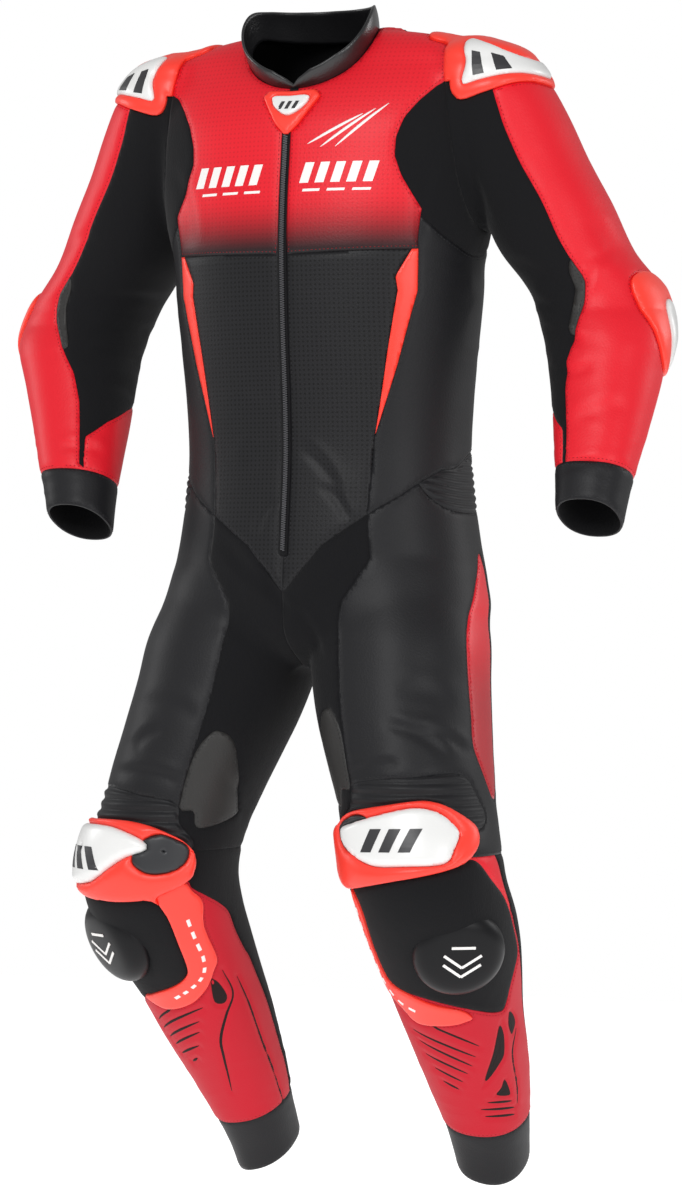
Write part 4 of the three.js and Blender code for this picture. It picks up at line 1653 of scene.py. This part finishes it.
def boxes(name, rows, material, node):
    """Small blocks, each given by its middle and three half edges."""
    points, faces = [], []
    for middle, a, b, c in rows:
        first = len(points)
        for i in (-1, 1):
            for j in (-1, 1):
                for k in (-1, 1):
                    points.append(middle + a * i + b * j + c * k)
        for face in ((0, 1, 3, 2), (4, 6, 7, 5), (0, 4, 5, 1), (2, 3, 7, 6), (0, 2, 6, 4), (1, 5, 7, 3)):
            faces.append(tuple(first + k for k in face))
    obj = make_mesh(name, points, faces, [material])
    face_normals_out(obj)
    return finish_piece(obj, node, False)


def zip_teeth():
    """The row of teeth down the front zip."""
    z = np.arange(SHIELD[0][1], ZIP_FOOT + 4, -2.7)
    bare = front_points(np.stack([0 * z, z], 1))
    n = outward(bare)
    laid = Surface(["zip_tape"]).lay(bare, n)
    ahead = np.gradient(laid, axis=0)
    ahead /= np.linalg.norm(ahead, axis=1)[:, None]
    rows = []
    for k in range(len(z)):
        for sign in (1, -1):
            middle = laid[k] + np.array([1.25 * sign, 0, 0]) + n[k] * 0.8 + ahead[k] * (0.65 * sign)
            rows.append((middle, np.array([1.35, 0, 0]), n[k] * 0.8, ahead[k] * 0.8))
    return boxes("zip_teeth", rows, METAL, "zip")


def leg_chart(side):
    """Places heights and angles on one leg."""
    return lambda rows: limb_points("leg", side, rows)


def slanted(start, step, count, wide, high, slant, base):
    """Leaning bars side by side in a chart of places across and heights."""
    bars = []
    for k in range(count):
        x = start + step * k
        top = base + high
        bars.append([[x, base], [x + wide, base], [x + wide + slant, top], [x + slant, top]])
    return bars


def turned(shapes):
    """Swaps a chart's columns, from across and height to height and angle."""
    return [[[v, u] for u, v in shape] for shape in shapes]


zip_teeth()
chest_face = Surface(["chest_left", "chest_right"])
chest_bars = slanted(20, 19, 5, 11, 24, 7, -126) + slanted(-122, 19, 5, 11, 24, 7, -126)
chest_bars += slanted(24, 30, 3, 21, 3, 1, -136) + slanted(-112, 30, 3, 21, 3, 1, -136)
patches("chest_bars", chest_face, chest_bars, front_points, 0.35, PRINT, "front_left")
rays = [[[28, -80], [92, -46]], [[44, -84], [106, -40]], [[62, -84], [120, -34]]]
ray_lines = [front_points(np.array([np.array(a) * (1 - t) + np.array(b) * t for t in np.linspace(0, 1, 22)]))
             for a, b in rays]
ribbons("chest_rays", chest_face, ray_lines, 4.2, 0.4, PRINT, "front_left")
shield_face = Surface(["shield_centre"])
patches("shield_bars", shield_face, slanted(-13, 9, 3, 4.5, 9, 4, -39), front_points, 0.4, DARK_PRINT,
        "zip_shield", steps=(3, 3))

for side in (1, -1):
    end = "_" + side_of(side)
    shin_node, knee_node = "shin" + end, "knee_cup" + end
    shin_face = Surface(["shin" + end])
    lines = [limb_points("leg", side, line) for line in shin_lines(side)]
    ribbons("shin_slits" + end, shin_face, lines, 5.0, 0.25, VENT_CLOTH, shin_node)
    vents = []
    for outline in VENTS[side]:
        middle = np.mean(outline, axis=0)
        inner = (np.array(outline) - middle) * 0.8 + middle
        vents.append(inner)
    fans("shin_vents" + end, shin_face, vents, side, 0.3, VENT_CLOTH, shin_node)
    knee_face = Surface(["knee_centre" + end])
    middle = 4 if side == 1 else 38
    base = -900 if side == 1 else -928
    bars = slanted(middle - 22, 13, 3, 7.5, 24, 9, base)
    patches("knee_bars" + end, knee_face, turned(bars), leg_chart(side), 0.5, DARK_PRINT,
            knee_node)
    strip_face = Surface(["strip" + end])
    dashes = []
    track = [[-962, -42.5], [-1000, -44], [-1035, -43], [-1058, -37], [-1078, -25], [-1092, -8]]
    if side == -1:
        track = [[-985, -39], [-1010, -39], [-1035, -39], [-1056, -33], [-1074, -18], [-1088, 0]]
    path = densify(track, 1.0)
    for k in range(9):
        a = int((k + 0.12) / 9 * (len(path) - 1))
        b = int((k + 0.62) / 9 * (len(path) - 1))
        dashes.append(limb_points("leg", side, path[a:b + 1]))
    ribbons("strip_dashes" + end, strip_face, dashes, 5.5, 0.35, PRINT, shin_node, False)
    cup_face = Surface(["shoulder_centre" + end])
    marks = [[[209, 24], [218, 22], [226, -2], [214, -4]], [[229, 21], [241, 17], [252, 3], [238, 1]]]
    marks = [[[u * side, v] for u, v in shape] for shape in marks]
    patches("shoulder_bars" + end, cup_face, marks, front_points, 0.5, DARK_PRINT,
            "shoulder_cup" + end)
    stitches("stitches_red" + end, ["chest" + end, "sleeve" + end, "shin" + end, "side_stripe" + end],
             RED_THREAD, "sleeve" + end)
    sewn = [name + end for name in ("belly", "flank", "thigh", "cuff", "ankle", "knee_patch", "elbow_patch")]
    stitches("stitches_black" + end, sewn, THREAD, "thigh" + end)
stitches("stitches_back", ["back", "seat"], THREAD, "back")


def puck_marks(side):
    """Two pale chevrons and a short arc on a slider's face."""
    middle, facing, u, v = puck_frame(side)
    middle = middle + facing * 21.6
    rows = []
    for k, (start, stop) in enumerate((((-22, 8), (0, -8)), ((0, -8), (22, 8)), ((-22, -4), (0, -20)),
                                       ((0, -20), (22, -4)), ((-14, 18), (14, 18)))):
        a = middle + u * start[0] + v * start[1]
        b = middle + u * stop[0] + v * stop[1]
        way = (b - a) / 2
        thick = np.cross(facing, way / np.linalg.norm(way)) * 1.6
        rows.append(((a + b) / 2 + facing * (0.02 * k), way, thick, facing * 1.0))
    end = side_of(side)
    return boxes("slider_marks_" + end, rows, PRINT, "knee_slider_" + end)


for side in (1, -1):
    puck_marks(side)


# Light, floor and camera

FLOOR_Z = -1345.0
FLOOR_REACH = 2600.0
corners = [[-1, -1], [1, -1], [1, 1], [-1, 1]]
floor_points = [[x * FLOOR_REACH, y * FLOOR_REACH, FLOOR_Z] for x, y in corners]
floor_pale = shader("floor_pale", (0.42, 0.42, 0.42), 0.9, glow=2.3)[0]
floor = make_mesh("floor", floor_points, [(0, 1, 2, 3)], [floor_pale])


def area_light(name, place, size, power):
    """A round soft light that faces the suit."""
    data = bpy.data.lights.new(name, "AREA")
    data.shape = "DISK"
    data.size = size
    data.energy = power
    obj = bpy.data.objects.new(name, data)
    obj.location = place
    aim = Vector((0, 0, -0.6)) - Vector(place)
    obj.rotation_euler = aim.to_track_quat("-Z", "Y").to_euler()
    bpy.context.scene.collection.objects.link(obj)


right = Vector(VIEW_RIGHT)
inward = Vector(VIEW_IN)
area_light("key", tuple(right * -1.2 - inward * 3.4 + Vector((0, 0, 1.5))), 1.8, 75)
area_light("fill", tuple(right * 2.2 - inward * 3.4 + Vector((0, 0, 0.3))), 1.6, 38)
area_light("rim_left", tuple(right * -2.8 + inward * 0.9 + Vector((0, 0, 0.4))), 1.2, 16)
area_light("rim_right", tuple(right * 2.8 + inward * 0.9 + Vector((0, 0, 0.4))), 1.2, 14)

world = bpy.data.worlds.new("studio")
world.use_nodes = True
sky, air = world.node_tree.nodes, world.node_tree.links
sky["Background"].inputs["Color"].default_value = (1, 1, 1, 1)
path = sky.new("ShaderNodeLightPath")
level = sky.new("ShaderNodeMapRange")
level.inputs["To Min"].default_value = 0.38
level.inputs["To Max"].default_value = 1.0
air.new(path.outputs["Is Camera Ray"], level.inputs["Value"])
air.new(level.outputs["Result"], sky["Background"].inputs["Strength"])
bpy.context.scene.world = world
bpy.context.scene.view_settings.view_transform = "Standard"

camera_data = bpy.data.cameras.new("camera")
camera_data.lens = 125
camera_data.sensor_width = 36
camera_data.clip_end = 50
camera = bpy.data.objects.new("camera", camera_data)
aim = Vector((0.007 * math.cos(VIEW_TURN), 0.007 * math.sin(VIEW_TURN), VIEW_Z * MM))
camera.location = aim - inward * (VIEW_AWAY * MM)
camera.rotation_euler = inward.to_track_quat("-Z", "Y").to_euler()
bpy.context.scene.collection.objects.link(camera)
bpy.context.scene.camera = camera
